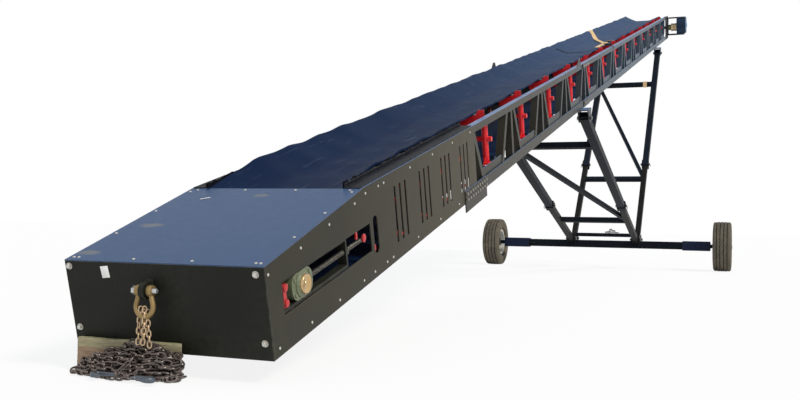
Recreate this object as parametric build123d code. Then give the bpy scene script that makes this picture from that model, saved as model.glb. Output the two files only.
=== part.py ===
# Portable radial stacker: a troughed belt on a long inclined truss. A box of
# folded plate closes the tail, a two-wheeled undercarriage with telescoping
# legs carries the middle, and the tail rests on a block of timber.
#
# Two frames are used, both in millimetres. The conveyor frame (s, y, n) has
# s running up the incline from the tail, y to the left and n square to the
# belt. The standing frame (x, y, z) has +Z up, +X towards the head and its
# origin on the floor below the middle of the machine's length.

import os
from math import acos, atan2, cos, degrees, hypot, pi, radians, sin, sqrt, tan

from build123d import *

# Gap left between pieces that bear on each other
seat = 0.3

# Conveyor frame as a whole
incline = 15.14           # degrees, belt line above the floor
tail_height = 100.0       # lower edge of the tail above the floor
frame_length = 18700.0
frame_width = 980.0
frame_depth = 488.0       # chord to chord, outside
tail_depth = 400.0        # end plate, cover included

# Tail box of folded plate
cover_length = 1007.0
cover_wall = 5.0
cover_lip = 14.0          # turned down at the cover's upper end
end_wall = 10.0
panel_length = 2985.0
panel_wall = 6.0
panel_flange = 48.0
floor_wall = 4.0
floor_start = 520.0
floor_length = 2300.0

# Take-up window in each side panel
window_start = 125.0
window_length = 950.0
window_low = 150.0
window_height = 146.0
port_start = 1112.0       # upright port beyond the window
port_width = 62.0
port_low = 120.0
port_height = 197.0
port_chamfer = 16.0

# Adjusting slots of the loading idlers, in groups of three
slot_groups = 4
slot_first = 1520.0       # middle of the first group
slot_group_pitch = 400.0
slot_pitch = 80.0
slot_width = 26.0
slot_low = 92.0
slot_height = 313.0

# Truss sides
bay_count = 13
first_node = 2895.0
top_chord = 50.0          # legs of the top chord's angle
bottom_chord = 80.0
bottom_flange = 52.0
chord_wall = 8.0
web_leg = 50.0            # leg in the side's plane
web_inset = 60.0          # leg that points inwards
web_wall = 6.0
fall_top = 62.0           # falling diagonal, from the node
fall_bottom = 300.0
rise_top = -120.0         # rising diagonal, from the next node
rise_bottom = -372.0
foot_plate_height = 62.0  # plate between the diagonals' feet
foot_plate_wall = 8.0
crossbar_leg = 50.0
crossbar_wall = 6.0
splice_node = 4           # bolted joint of the chords, counted in bays
splice_length = 360.0
splice_wall = 8.0
joint_start = 2680.0      # plate over the joint of panel and truss
joint_length = 520.0
joint_drop = 56.0         # hangs below the bottom chord
joint_top = 90.0
lifting_lug_s = 7180.0    # ear on the top chord, above the front legs
lifting_lug_length = 240.0
lifting_lug_height = 80.0
lifting_lug_eye = 16.0

# Belt and its path
belt_width = 762.0
belt_wall = 12.0
trough_angle = 20.0
centre_roll_length = 286.0
roll_radius = 51.0
roll_gap = 12.0
wing_roll_length = 205.0
roll_spindle = 10.0       # radius
roll_plate_wall = 6.0
roll_plate_width = 60.0
roll_plate_top = 400.0
trough_level = 425.0      # underside of the belt on the centre rolls
trough_start = 1500.0
trough_end_gap = 420.0    # from the last trough to the head pulley
return_level = 112.0      # top of the returning belt
return_roll_radius = 48.0
return_roll_length = 800.0
return_spindle = 12.0     # radius
return_roll_every = 3     # bays between return rolls

# Tail pulley and take-up
tail_pulley_s = 316.0
tail_pulley_n = 227.0
tail_pulley_radius = 158.0
tail_pulley_length = 820.0
tail_wings = 10
wing_wall = 10.0
tail_shaft_radius = 30.0
bearing_length = 190.0
bearing_height = 118.0
bearing_depth = 62.0
take_up_ledge = 14.0
take_up_bar_width = 44.0
take_up_plate_s = 775.0
take_up_plate_wall = 14.0
take_up_screw_radius = 13.0
take_up_screw_length = 640.0

# Head pulley and drive
head_plate_length = 660.0
head_pulley_back = 100.0  # from the frame's end to the pulley's centre
head_pulley_n = 235.0
head_pulley_radius = 150.0
head_pulley_length = 820.0
head_shaft_radius = 32.0
head_bearing_length = 190.0
head_bearing_height = 120.0
head_bearing_depth = 62.0
coupling_radius = 84.0
coupling_start = 14.0     # past the bearing
coupling_length = 118.0
coupling_waist_radius = 60.5
coupling_waist_half = 14.0
drive_frame_length = 240.0
drive_frame_wall = 22.0
drive_frame_high = 452.0
drive_frame_low = 86.0
motor_gap = 6.0           # between the coupling and the gear motor
motor_radius = 186.0
motor_length = 196.0
motor_rise = 34.0         # gear motor's centre above the pulley's
motor_cover_radius = 172.0
motor_cover_depth = 14.0
motor_foot_in = 40.0           # the feet start this far in from the cover's face

# Idler stands, one in the middle of each bay
stand_shift = 45.0        # past the middle of the bay
stand_radius = 24.0
stand_inset = 78.0        # stand's centre inside the frame's outer face
stand_foot = 112.0
stand_top = 470.0
stand_gusset = 72.0
stand_gusset_height = 86.0
stand_gusset_wall = 8.0
stand_base_half = 45.0
stand_base_wall = 12.0
cross_tube_radius = 19.0
cross_tube_n = 303.0
cross_tube_reach = 52.0   # past the stand's centre
wing_plate_wall = 8.0     # plate across the conveyor, before the wing roll
wing_plate_before = 58.0
wing_plate_in = 240.0     # from the middle of the belt
wing_plate_clear = 12.0   # under the belt and beside the top chord
wing_plate_depth = 46.0
wing_plate_top = 530.0
wing_plate_outer = 44.0   # width of its upright outer end

# Skirts beside the loading zone: rubber strips on steel angles
skirt_length = 1950.0
skirt_wall = 8.0
skirt_inset = 92.0
skirt_low = 476.0
skirt_high = 524.0
skirt_angle_wall = 5.0
skirt_angle_back = 8.0    # from the frame's outer face
skirt_angle_high = 512.0

# Undercarriage
axle_x_from_tail = 12040.0
front_leg_shift = 63.0    # front leg's pin past the lifting lug
rear_leg_back = 2874.0    # rear leg's pin from the frame's end
leg_hang = 105.0          # leg pin below the bottom chord
leg_spread = 1040.0       # across, centre to centre
tube_corner = 9.0         # outer corner radius of the square tubes
sleeve_side = 100.0       # outer square tube of a leg
sleeve_wall = 6.0
ram_gap = 0.7             # all round the inner tube of a leg
ram_wall = 6.0
front_sleeve_length = 3350.0
rear_sleeve_length = 3150.0
ram_overlap = 620.0
collar_length = 120.0     # band round the lower end of a sleeve
collar_wall = 10.0
ram_hole_radius = 14.0
ram_hole_pitch = 200.0
lock_pin_out = 16.0
leg_pin_radius = 19.0
leg_pin_out = 12.0
leg_top_end = 60.0        # past the top pin
leg_foot_end = 38.0       # past the foot pin
bracket_wall = 12.0
bracket_length = 210.0
bracket_nose = 84.0       # length of its lower edge
bracket_below = 45.0      # below the pin
front_cross_drop = 234.4  # upper cross tube below the front legs' top pins
front_cross_rise = 301.0  # lower cross tube above their foot pins
rear_cross_drop = 706.6
rear_cross_rise = 1043.0
cross_side = 76.0
cross_wall = 5.0
brace_side = 56.0
axle_side = 120.0
axle_wall = 10.0
axle_sleeve_side = 150.0
axle_sleeve_length = 420.0
axle_sleeve_back = 4.0    # from the beam's end
axle_end_gap = 40.0       # between the beam's end and the tyre
axle_plug = 60.0
axle_lug_wall = 20.0
axle_lug_offset = 118.0   # leg foot pins before and behind the axle
axle_lug_height = 84.0
axle_lug_top = 72.0       # above the foot pins
axle_lug_end = 55.0       # past the foot pins
axle_lug_hook = 20.0      # wall of the lug beside the axle
axle_pin_out = 14.0
axle_tie_side = 60.0
axle_tie_height = 150.0   # above the axle's centre
tow_lug_gap = 14.0        # between the lug and the sleeve
tow_lug_radius = 52.0
tow_lug_bore = 26.0
tow_lug_wall = 25.0

# Wheels
wheel_track = 3695.0
tyre_radius = 392.0
tyre_width = 275.0
tyre_bead_rise = 30.0          # side wall: first bend, out from the rim's flange
tyre_side_rise = 78.0          # side wall: widest point
tyre_shoulder_drop = 30.0
tyre_crown_drop = 7.0
rim_radius = 190.0
rim_width = 205.0
rim_wall = 7.0
rim_flange = 20.0
rim_disc_offset = 28.0    # mounting disc outwards of the rim's middle
hub_radius = 62.0
hub_flange_radius = 105.0
hub_length = 190.0
hub_cap_radius = 42.0
hub_cap_depth = 52.0
hub_shoulder = 20.0
hub_chamfer = 12.0
hub_flange_wall = 16.0
spindle_radius = 30.0
spindle_clearance = 1.0
spindle_short = 12.0      # ends before the hub's outer face
hand_hole_radius = 18.0
hand_hole_circle = 138.0
hand_holes = 8

# Tail gear: shackle, chain, hooks and timber
shackle_y = 57.0
shackle_s = -44.0
shackle_n = 292.0
lug_wall = 22.0
lug_radius = 36.0
shackle_rod = 10.0        # radius of the bow
shackle_bow = 36.0        # radius of the bow's centre line
shackle_drop = 72.0       # from the pin down to the bow's centre
shackle_pin = 11.0
shackle_ear = 23.0
shackle_ear_half = 12.0   # half the thickness of an eye
shackle_ear_gap = 3.0
shackle_pin_out = 22.0
shackle_pin_head = 18.0
link_rod = 10.0           # thickness of a chain link
link_half_length = 26.0
link_half_width = 18.0
link_pitch = 30.0
link_corner = 11.0
strand_links = 5
heap_x = -99.0            # middle of the heap, from the tail edge
heap_y = 120.0
heap_bow = 22.0           # how far the rows bow forwards at their middle
heap_bow_length = 470.0
heap_row_pitch = 33.2
# Row's place behind the heap's middle in row pitches, links, shift to the left, and layer
heap_rows = ((-1.0, 13, -10.0, 0), (0.0, 15, 0.0, 0), (1.0, 14, 8.0, 0),
             (-0.5, 10, 14.0, 1), (0.5, 11, -12.0, 1), (0.0, 5, 88.0, 2))
hook_wall = 16.0          # grab hooks at the chain's ends
hook_eye = 16.0           # outer radius of the eye
hook_eye_bore = 8.0
hook_shank = 70.0         # from the eye to the bend
hook_bend = 17.0          # radius of the bend's centre line
hook_width = 16.0
hook_tip = 30.0
hook_links = ((8, 1), (6, -1))    # link of the front row that it lies at, and its way
timber_length = 536.0
timber_depth = 144.0
timber_front = 52.0       # stands out past the end plate's lower edge
timber_lip = 50.0         # of the uncut wood in front of the plate
timber_slack = 4.0        # in the rebate, along the plate
timber_y = 185.0
strap_width = 50.0
strap_wall = 3.0
strap_node = 6

# Worked out from the sizes above
half_width = frame_width / 2
rise_angle = radians(incline)
head_start = frame_length - head_plate_length
bay_pitch = (head_start - first_node) / bay_count
front_leg_s = lifting_lug_s + front_leg_shift
rear_leg_s = frame_length - rear_leg_back
cover_slope = (frame_depth - tail_depth) / cover_length
head_pulley_s = frame_length - head_pulley_back
head_reach = (head_pulley_s * cos(rise_angle) - (head_pulley_n + motor_rise) * sin(rise_angle)
              + motor_radius)
tow_lug_y = (wheel_track / 2 - tyre_width / 2 - axle_end_gap - axle_sleeve_back - axle_sleeve_length
             - tow_lug_gap - tow_lug_radius)
link_reach = (link_half_width + link_rod / 2) / sqrt(2)
hook_across = hook_eye + 2 * hook_bend + hook_width / 2
tail_reach = heap_bow - heap_x + heap_row_pitch + link_reach + seat + hook_across
tail_x = -(head_reach - tail_reach) / 2
axle_x = tail_x + axle_x_from_tail
axle_z = tyre_radius
web_face = half_width - chord_wall
ram_side = sleeve_side - 2 * sleeve_wall - 2 * ram_gap
belt_half = belt_width / 2
centre_half = centre_roll_length / 2
wing_length = belt_half - centre_half


def world(s, y, n):
    """Point of the conveyor frame in the standing frame."""
    return (tail_x + s * cos(rise_angle) - n * sin(rise_angle), y,
            tail_height + s * sin(rise_angle) + n * cos(rise_angle))


def raised(shape):
    """Shape modelled in the conveyor frame, set up on its incline."""
    return Pos(tail_x, 0, tail_height) * Rot(0, -incline, 0) * shape


def block(s0, s1, y0, y1, n0, n1):
    """Block between two corners."""
    return Pos((s0 + s1) / 2, (y0 + y1) / 2, (n0 + n1) / 2) * Box(s1 - s0, y1 - y0, n1 - n0)


def side_slab(points, y0, y1):
    """Outline of (s, n) points in the side view, as thick as y0 to y1."""
    outline = make_face(Polyline(*[(s, y0, n) for s, n in points], close=True))
    return extrude(outline, amount=y1 - y0, dir=(0, 1, 0))


def long_bar(points, s0, s1):
    """Outline of (y, n) points in the end view, as long as s0 to s1."""
    outline = make_face(Polyline(*[(s0, y, n) for y, n in points], close=True))
    return extrude(outline, amount=s1 - s0, dir=(1, 0, 0))


def rod(start, end, radius):
    """Round bar between two points."""
    axis = Vector(*end) - Vector(*start)
    return extrude(Plane(origin=start, z_dir=axis) * Circle(radius), amount=axis.length)


def square_tube(start, end, side, wall, sideways=(0, 1, 0)):
    """Square tube between two points, one pair of its walls square to sideways; solid with no wall."""
    axis = Vector(*end) - Vector(*start)
    section = RectangleRounded(side, side, tube_corner)
    inside = side - 2 * wall
    if wall >= tube_corner:
        section -= Rectangle(inside, inside)
    elif wall:
        section -= RectangleRounded(inside, inside, tube_corner - wall)
    return extrude(Plane(origin=start, x_dir=sideways, z_dir=axis) * section, amount=axis.length)


def mirrored(shape):
    """The same piece on the other side of the machine."""
    return mirror(shape, about=Plane.XZ)


def save(name, shape):
    """Write one sub-part; a list holds separate solids of one node."""
    if isinstance(shape, (list, tuple)):
        solids = [solid for piece in shape for solid in piece.solids()]
        shape = solids[0] if len(solids) == 1 else Compound(solids)
    export_step(shape, f"parts/{name}.step")


def save_pair(name, right):
    """Write the right-hand piece and its mirror image on the left."""
    pieces = right if isinstance(right, (list, tuple)) else [right]
    save(f"{name}_right", pieces)
    save(f"{name}_left", [mirrored(piece) for piece in pieces])


def save_both(name, right):
    """Write the right-hand pieces and their mirror images as one node."""
    pieces = right if isinstance(right, (list, tuple)) else [right]
    save(name, pieces + [mirrored(piece) for piece in pieces])


def panel_top(s):
    """Upper edge of the side panel, which slopes under the cover."""
    if s < cover_length:
        return tail_depth + cover_slope * s - cover_wall
    return frame_depth


def slot_centres():
    """Middle of each adjusting slot along the side panel."""
    return [slot_first + group * slot_group_pitch + (k - 1) * slot_pitch
            for group in range(slot_groups) for k in range(3)]


def node_s(bay):
    """Start of a truss bay along the conveyor."""
    return first_node + bay * bay_pitch


def stand_s(bay):
    """Idler stand of a bay."""
    return node_s(bay) + bay_pitch / 2 + stand_shift


def make_end_plate():
    """Plate across the tail with the lug that the shackle hangs from."""
    plate = block(0, end_wall, -half_width, half_width, 0, tail_depth - cover_wall)
    lug_y0 = shackle_y - lug_wall / 2
    lug = block(shackle_s, 0, lug_y0, lug_y0 + lug_wall, shackle_n - lug_radius, shackle_n + lug_radius)
    lug += rod((shackle_s, lug_y0, shackle_n), (shackle_s, lug_y0 + lug_wall, shackle_n), lug_radius)
    lug -= rod((shackle_s, lug_y0 - 1, shackle_n), (shackle_s, lug_y0 + lug_wall + 1, shackle_n),
               shackle_pin + seat)
    return plate + lug


def make_cover():
    """Sloping plate over the tail pulley, with a lip turned down at its upper end."""
    top = [(0, tail_depth), (cover_length, frame_depth)]
    under = [(s, n - cover_wall) for s, n in reversed(top)]
    sheet = side_slab(top + under, -half_width, half_width)
    lip_side = half_width - panel_flange - 6
    lip = block(cover_length - cover_wall, cover_length, -lip_side, lip_side,
                frame_depth - cover_lip, frame_depth - cover_wall)
    return sheet + lip


def make_side_panel():
    """Folded side plate of the tail, with its take-up window, port and idler slots."""
    outer = -half_width
    top = [(end_wall, panel_top(end_wall)), (cover_length, frame_depth - cover_wall),
           (cover_length, frame_depth), (panel_length, frame_depth)]
    web = side_slab([(end_wall, 0)] + top + [(panel_length, 0)], outer, outer + panel_wall)
    low_flange = block(end_wall, panel_length, outer, outer + panel_flange, 0, panel_wall)
    flat_flange = block(cover_length, panel_length, outer, outer + panel_flange,
                        frame_depth - panel_wall, frame_depth)
    slope = [(end_wall, panel_top(end_wall)), (cover_length, frame_depth - cover_wall)]
    slope_flange = side_slab(slope + [(s, n - panel_wall) for s, n in reversed(slope)],
                             outer, outer + panel_flange)
    panel = web + low_flange + flat_flange + slope_flange
    window = block(window_start, window_start + window_length, outer - 1, outer + panel_wall + 1,
                   window_low, window_low + window_height)
    c = port_chamfer
    port = side_slab([(port_start, port_low + c), (port_start + c, port_low),
                      (port_start + port_width - c, port_low), (port_start + port_width, port_low + c),
                      (port_start + port_width, port_low + port_height - c),
                      (port_start + port_width - c, port_low + port_height),
                      (port_start + c, port_low + port_height), (port_start, port_low + port_height - c)],
                     outer - 1, outer + panel_wall + 1)
    slots = [block(s - slot_width / 2, s + slot_width / 2, outer - 1, outer + panel_wall + 1,
                   slot_low, slot_low + slot_height) for s in slot_centres()]
    return panel - window - port - slots


def make_tail_floor():
    """Pan between the side panels, under the returning belt."""
    inner = half_width - panel_flange
    return block(floor_start, floor_start + floor_length, -inner, inner, 0, floor_wall)


def make_side_truss():
    """Right truss side: two angle chords, posts, diagonals, stand foot plates and a lifting lug."""
    outer = -half_width
    inner = outer + chord_wall
    top = long_bar([(outer, frame_depth - top_chord), (inner, frame_depth - top_chord),
                    (inner, frame_depth - chord_wall), (outer + top_chord, frame_depth - chord_wall),
                    (outer + top_chord, frame_depth), (outer, frame_depth)], panel_length, head_start)
    bottom = long_bar([(outer, 0), (outer + bottom_flange, 0), (outer + bottom_flange, chord_wall),
                       (outer + chord_wall, chord_wall), (outer + chord_wall, bottom_chord),
                       (outer, bottom_chord)], panel_length, head_start)
    low, high = chord_wall, frame_depth - chord_wall
    face = -web_face
    members = []
    for bay in range(bay_count):
        start, end = node_s(bay), node_s(bay + 1)
        fall = [(start + fall_bottom, low), (start + fall_top, high)]
        rise = [(end + rise_bottom, low), (end + rise_top, high)]
        for (s_low, n_low), (s_high, n_high) in (fall, rise):
            edge = (s_high - s_low) / (n_high - n_low)
            width = web_leg * sqrt(1 + edge * edge)
            lip = web_wall * sqrt(1 + edge * edge)
            members.append(side_slab([(s_low, n_low), (s_low + width, n_low),
                                      (s_high + width, n_high), (s_high, n_high)], face, face + web_wall))
            members.append(side_slab([(s_low, n_low), (s_low + lip, n_low),
                                      (s_high + lip, n_high), (s_high, n_high)], face, face + web_inset))
        if bay:
            post = block(start, start + web_leg, face, face + web_wall, low, high)
            members.append(post + block(start, start + web_wall, face, face + web_inset, low, high))
        members.append(block(start + fall_bottom, end + rise_bottom + web_leg, face + web_wall,
                             face + web_wall + foot_plate_wall, low, bottom_chord + foot_plate_height))
    half = lifting_lug_length / 2
    lug_top = frame_depth + lifting_lug_height
    lug = side_slab([(lifting_lug_s - half, high), (lifting_lug_s + half, high),
                     (lifting_lug_s + half / 2, lug_top), (lifting_lug_s, lug_top)], outer, inner)
    eye_n = frame_depth + lifting_lug_height / 2
    eye_s = lifting_lug_s + half / 4
    lug -= rod((eye_s, outer - 1, eye_n), (eye_s, inner + 1, eye_n), lifting_lug_eye)
    return (top + bottom).fuse(lug, *members)


def make_crossbars():
    """Bars across the truss at each node, under the returning belt."""
    reach = web_face - web_inset - seat
    low = chord_wall
    return [block(node_s(bay), node_s(bay) + crossbar_leg, -reach, reach, low, low + crossbar_wall)
            + block(node_s(bay), node_s(bay) + crossbar_wall, -reach, reach, low, low + crossbar_leg)
            for bay in range(1, bay_count)]


def make_splices():
    """Plates outside each side that bolt the chords' lengths, and the tail's panels, together."""
    middle = node_s(splice_node)
    plates = [block(joint_start, joint_start + joint_length, -half_width - splice_wall, -half_width,
                    -joint_drop, joint_top)]
    for n0, n1 in ((frame_depth - top_chord, frame_depth), (0, bottom_chord)):
        plates.append(block(middle - splice_length / 2, middle + splice_length / 2,
                            -half_width - splice_wall, -half_width, n0, n1))
    return plates


def make_head_plate():
    """Deep plate at the upper end of one side, which carries the head bearing."""
    outer = -half_width
    plate = block(head_start, frame_length, outer, outer + panel_wall, 0, frame_depth)
    plate += block(head_start, frame_length, outer, outer + panel_flange, 0, panel_wall)
    plate += block(head_start, head_pulley_s - head_pulley_radius - belt_wall - 20, outer,
                   outer + panel_flange, frame_depth - panel_wall, frame_depth)
    return plate - rod((head_pulley_s, outer - 1, head_pulley_n),
                       (head_pulley_s, outer + panel_wall + 1, head_pulley_n), head_shaft_radius + 10)


def make_bearing(s, n, y0, y1, length, height, shaft):
    """Bearing housing: a rounded block with a bore for its shaft."""
    outline = Plane(origin=(s, y0, n), x_dir=(1, 0, 0), z_dir=(0, 1, 0)) * RectangleRounded(
        length, height, height * 0.42)
    housing = extrude(outline, amount=y1 - y0)
    return housing - rod((s, y0 - 1, n), (s, y1 + 1, n), shaft + seat)


def make_tail_pulley():
    """Wing pulley on its shaft, open between the wings so that spilt stone falls out."""
    half = tail_pulley_length / 2
    shaft_half = half_width + 8
    pulley = rod((0, -half, 0), (0, half, 0), tail_shaft_radius + 22)
    wing_radius = tail_pulley_radius - seat
    wings = [Rot(0, k * 360 / tail_wings, 0)
             * block(tail_shaft_radius, wing_radius, -half, half, -wing_wall / 2, wing_wall / 2)
             for k in range(tail_wings)]
    shaft = rod((0, -shaft_half, 0), (0, shaft_half, 0), tail_shaft_radius)
    return Pos(tail_pulley_s, 0, tail_pulley_n) * pulley.fuse(shaft, *wings)


def make_take_up_frame():
    """Two slide bars and an end plate, inside the window of the side panel."""
    inside = -half_width + panel_wall
    low = tail_pulley_n - bearing_height / 2 - take_up_ledge
    high = tail_pulley_n + bearing_height / 2
    start, end = window_start - 20, take_up_plate_s + take_up_plate_wall
    bars = block(start, end, inside, inside + take_up_bar_width, low, low + take_up_ledge - seat)
    bars += block(start, end, inside, inside + take_up_bar_width, high + seat, high + take_up_ledge)
    stop = block(take_up_plate_s, end, inside, inside + take_up_bar_width, low, high + take_up_ledge)
    stop -= rod((take_up_plate_s - 1, inside + take_up_bar_width / 2, tail_pulley_n),
                (end + 1, inside + take_up_bar_width / 2, tail_pulley_n), take_up_screw_radius + seat)
    return bars + stop


def make_take_up_screw():
    """Threaded rod from the bearing through the end plate, with its nut."""
    y = -half_width + panel_wall + take_up_bar_width / 2
    start = tail_pulley_s + bearing_length / 2
    end = start + take_up_screw_length
    screw = rod((start, y, tail_pulley_n), (end, y, tail_pulley_n), take_up_screw_radius)
    nut_start = take_up_plate_s + take_up_plate_wall + seat
    nut = extrude(Plane(origin=(nut_start, y, tail_pulley_n), z_dir=(1, 0, 0))
                  * RegularPolygon(take_up_screw_radius * 1.7, 6), amount=take_up_screw_radius * 1.6)
    return screw + nut


def trough_section(s, level, angle):
    """Face of the belt's section: a flat middle and two wings raised by an angle."""
    a = radians(angle)
    half = belt_wall * tan(a / 2)
    under = [(-centre_half - wing_length * cos(a), level + wing_length * sin(a)), (-centre_half, level),
             (centre_half, level), (centre_half + wing_length * cos(a), level + wing_length * sin(a))]
    tip = (under[3][0] - belt_wall * sin(a), under[3][1] + belt_wall * cos(a))
    over = [tip, (centre_half - half, level + belt_wall), (-centre_half + half, level + belt_wall),
            (-tip[0], tip[1])]
    return make_face(Polyline(*[(s, y, n) for y, n in under + over], close=True))


def turn_of_belt(s, n, radius, start, end):
    """Belt round one pulley, between two angles measured from +s towards +n."""
    plane = Plane(origin=(s, -belt_half, n), x_dir=(1, 0, 0), z_dir=(0, -1, 0))
    inner = CenterArc((0, 0), radius, start, end - start)
    outer = CenterArc((0, 0), radius + belt_wall, start, end - start)
    ends = [Line(inner @ 0, outer @ 0), Line(inner @ 1, outer @ 1)]
    return extrude(plane * make_face([inner, outer] + ends), amount=-belt_width)


def return_tangent(s, n, radius, roll_s, way):
    """Angle at which the flat return leaves a pulley for the nearest return roll."""
    ds, dn = roll_s - s, return_level - belt_wall / 2 - n
    return degrees(atan2(dn, ds)) + way * degrees(acos((radius + belt_wall / 2) / hypot(ds, dn)))


def make_belt():
    """The whole belt as one loop: troughed run, both turns and the flat return."""
    tail_top = tail_pulley_n + tail_pulley_radius
    head_top = head_pulley_n + head_pulley_radius
    trough_end = head_pulley_s - trough_end_gap
    load_run = loft([trough_section(tail_pulley_s, tail_top, 0.0),
                     trough_section(trough_start, trough_level, trough_angle)], ruled=True)
    main_run = loft([trough_section(trough_start, trough_level, trough_angle),
                     trough_section(trough_end, trough_level, trough_angle)], ruled=True)
    head_run = loft([trough_section(trough_end, trough_level, trough_angle),
                     trough_section(head_pulley_s, head_top, 0.0)], ruled=True)
    rolls = return_roll_places()
    tail_angle = return_tangent(tail_pulley_s, tail_pulley_n, tail_pulley_radius, rolls[0], -1)
    head_angle = return_tangent(head_pulley_s, head_pulley_n, head_pulley_radius, rolls[-1], 1)
    tail_turn = turn_of_belt(tail_pulley_s, tail_pulley_n, tail_pulley_radius, 90, tail_angle + 360)
    head_turn = turn_of_belt(head_pulley_s, head_pulley_n, head_pulley_radius, head_angle - 360, 90)
    upper, lower = [], []
    for s, n, radius, angle in ((tail_pulley_s, tail_pulley_n, tail_pulley_radius, tail_angle),
                                (head_pulley_s, head_pulley_n, head_pulley_radius, head_angle)):
        a = radians(angle)
        upper.append((s + radius * cos(a), n + radius * sin(a)))
        lower.append((s + (radius + belt_wall) * cos(a), n + (radius + belt_wall) * sin(a)))
    upper[1:1] = [(rolls[0], return_level), (rolls[-1], return_level)]
    lower[1:1] = [(rolls[0], return_level - belt_wall), (rolls[-1], return_level - belt_wall)]
    back = side_slab(upper + lower[::-1], -belt_half, belt_half)
    return load_run.fuse(main_run, head_run, back, tail_turn, head_turn)


def return_roll_places():
    """Return rolls along the conveyor, under the flat run."""
    return [stand_s(bay) for bay in range(0, bay_count, return_roll_every)]


def idler_places():
    """Every troughing idler: the loading zone's, then one in each bay."""
    loading = [slot_first + group * slot_group_pitch for group in range(slot_groups)]
    return loading + [stand_s(bay) for bay in range(bay_count)]


def make_trough_rolls():
    """Three rolls at each idler: one level, two raised towards the belt's edges."""
    a = radians(trough_angle)
    radius = roll_radius - seat
    level = trough_level - roll_radius
    inner = centre_half + roll_gap / 2 + roll_radius * sin(a)
    outer = inner + wing_roll_length * cos(a)
    slant = roll_spindle * sin(a)
    plate_out = centre_half + roll_plate_wall / 2 + seat + slant
    post_in = half_width - stand_inset - stand_radius - seat - slant
    rolls = []
    for s in idler_places():
        centre = rod((s, -centre_half + roll_gap / 2, level), (s, centre_half - roll_gap / 2, level), radius)
        spindle_end = centre_half - roll_plate_wall / 2 - seat
        centre += rod((s, -spindle_end, level), (s, spindle_end, level), roll_spindle)
        rolls.append(centre)
        for side in (-1, 1):
            wing = rod((s, side * inner, wing_axis(inner)), (s, side * outer, wing_axis(outer)), radius)
            wing += rod((s, side * plate_out, wing_axis(plate_out)), (s, side * post_in, wing_axis(post_in)),
                        roll_spindle)
            rolls.append(wing)
    return rolls


def wing_axis(y):
    """Height of a wing roll's axis at a distance from the middle of the belt."""
    a = radians(trough_angle)
    return trough_level - roll_radius / cos(a) + (y - centre_half) * tan(a)


def make_return_rolls():
    """Long rolls under the returning belt."""
    half = return_roll_length / 2
    n = return_level - belt_wall - return_roll_radius
    reach = web_face - web_wall - foot_plate_wall - seat
    return [rod((s, -half, n), (s, half, n), return_roll_radius - seat)
            + rod((s, -reach, n), (s, reach, n), return_spindle) for s in return_roll_places()]


def roll_plates(s):
    """Two upright plates on a cross tube that hold the rolls' inner spindles."""
    half, wall = roll_plate_width / 2, roll_plate_wall / 2
    return [block(s - half, s + half, y - wall, y + wall, cross_tube_n, roll_plate_top)
            for y in (-centre_half, centre_half)]


def wing_plate(s, side):
    """Plate that rises from a post beside the wing roll, close under the belt."""
    slope = tan(radians(trough_angle))
    outer = half_width - top_chord - wing_plate_clear / 2
    under = trough_level - wing_plate_clear - centre_half * slope
    edge = centre_half + wing_length * cos(radians(trough_angle)) + wing_plate_clear / 2
    outline = [(wing_plate_in, under + wing_plate_in * slope), (edge, under + edge * slope),
               (outer - wing_plate_outer, wing_plate_top), (outer, wing_plate_top),
               (outer, stand_top - wing_plate_depth), (edge, under + edge * slope - 2 * wing_plate_depth),
               (wing_plate_in, under + wing_plate_in * slope - wing_plate_depth)]
    return long_bar([(side * y, n) for y, n in outline], s - wing_plate_before - wing_plate_wall,
                    s - wing_plate_before)


def make_stand(s, base_y):
    """A post on each side, joined by a tube under the rolls and bolted to a face at base_y."""
    y = half_width - stand_inset
    tube = rod((s, -y - cross_tube_reach, cross_tube_n), (s, y + cross_tube_reach, cross_tube_n),
               cross_tube_radius)
    pieces = roll_plates(s)
    for side in (-1, 1):
        pieces.append(rod((s, side * y, stand_foot), (s, side * y, stand_top), stand_radius))
        low, high = side * y - stand_gusset_wall / 2, side * y + stand_gusset_wall / 2
        for way in (-1, 1):
            pieces.append(side_slab([(s, stand_foot), (s + way * stand_gusset, stand_foot),
                                     (s, stand_foot + stand_gusset_height)], low, high))
        pieces.append(block(s - stand_base_half, s + stand_base_half, min(side * y, side * base_y),
                            max(side * y, side * base_y), stand_foot, stand_foot + stand_base_wall))
    return tube.fuse(*pieces)


def make_idler_stands():
    """Red stands of the truss, bolted to the foot plates, with a plate beside each wing roll."""
    y = half_width - stand_inset
    base_y = web_face - web_wall - foot_plate_wall - seat
    stands = []
    for bay in range(bay_count):
        s = stand_s(bay)
        pieces = []
        for side in (-1, 1):
            pieces.append(wing_plate(s, side))
            pieces.append(block(s - wing_plate_before - wing_plate_wall, s, side * y - stand_radius / 2,
                                side * y + stand_radius / 2, stand_top - stand_base_wall, stand_top))
        stands.append(make_stand(s, base_y).fuse(*pieces))
    return stands


def make_loading_frames():
    """Stands of the loading idlers, bolted through the slots of the side panels."""
    base_y = half_width - panel_wall - seat
    return [make_stand(slot_first + group * slot_group_pitch, base_y) for group in range(slot_groups)]


def make_skirt():
    """Upright rubber strip along the right edge of the loading zone."""
    y = -half_width + skirt_inset
    return block(cover_length + seat, cover_length + skirt_length, y, y + skirt_wall, skirt_low, skirt_high)


def make_skirt_angle():
    """Steel angle on the panel's flange that the rubber strip is clamped to."""
    y = -half_width + skirt_inset - seat
    foot = frame_depth + seat
    ends = cover_length + seat, cover_length + skirt_length
    return (block(*ends, -half_width + skirt_angle_back, y, foot, foot + skirt_angle_wall)
            + block(*ends, y - skirt_angle_wall, y, foot, skirt_angle_high))


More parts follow.
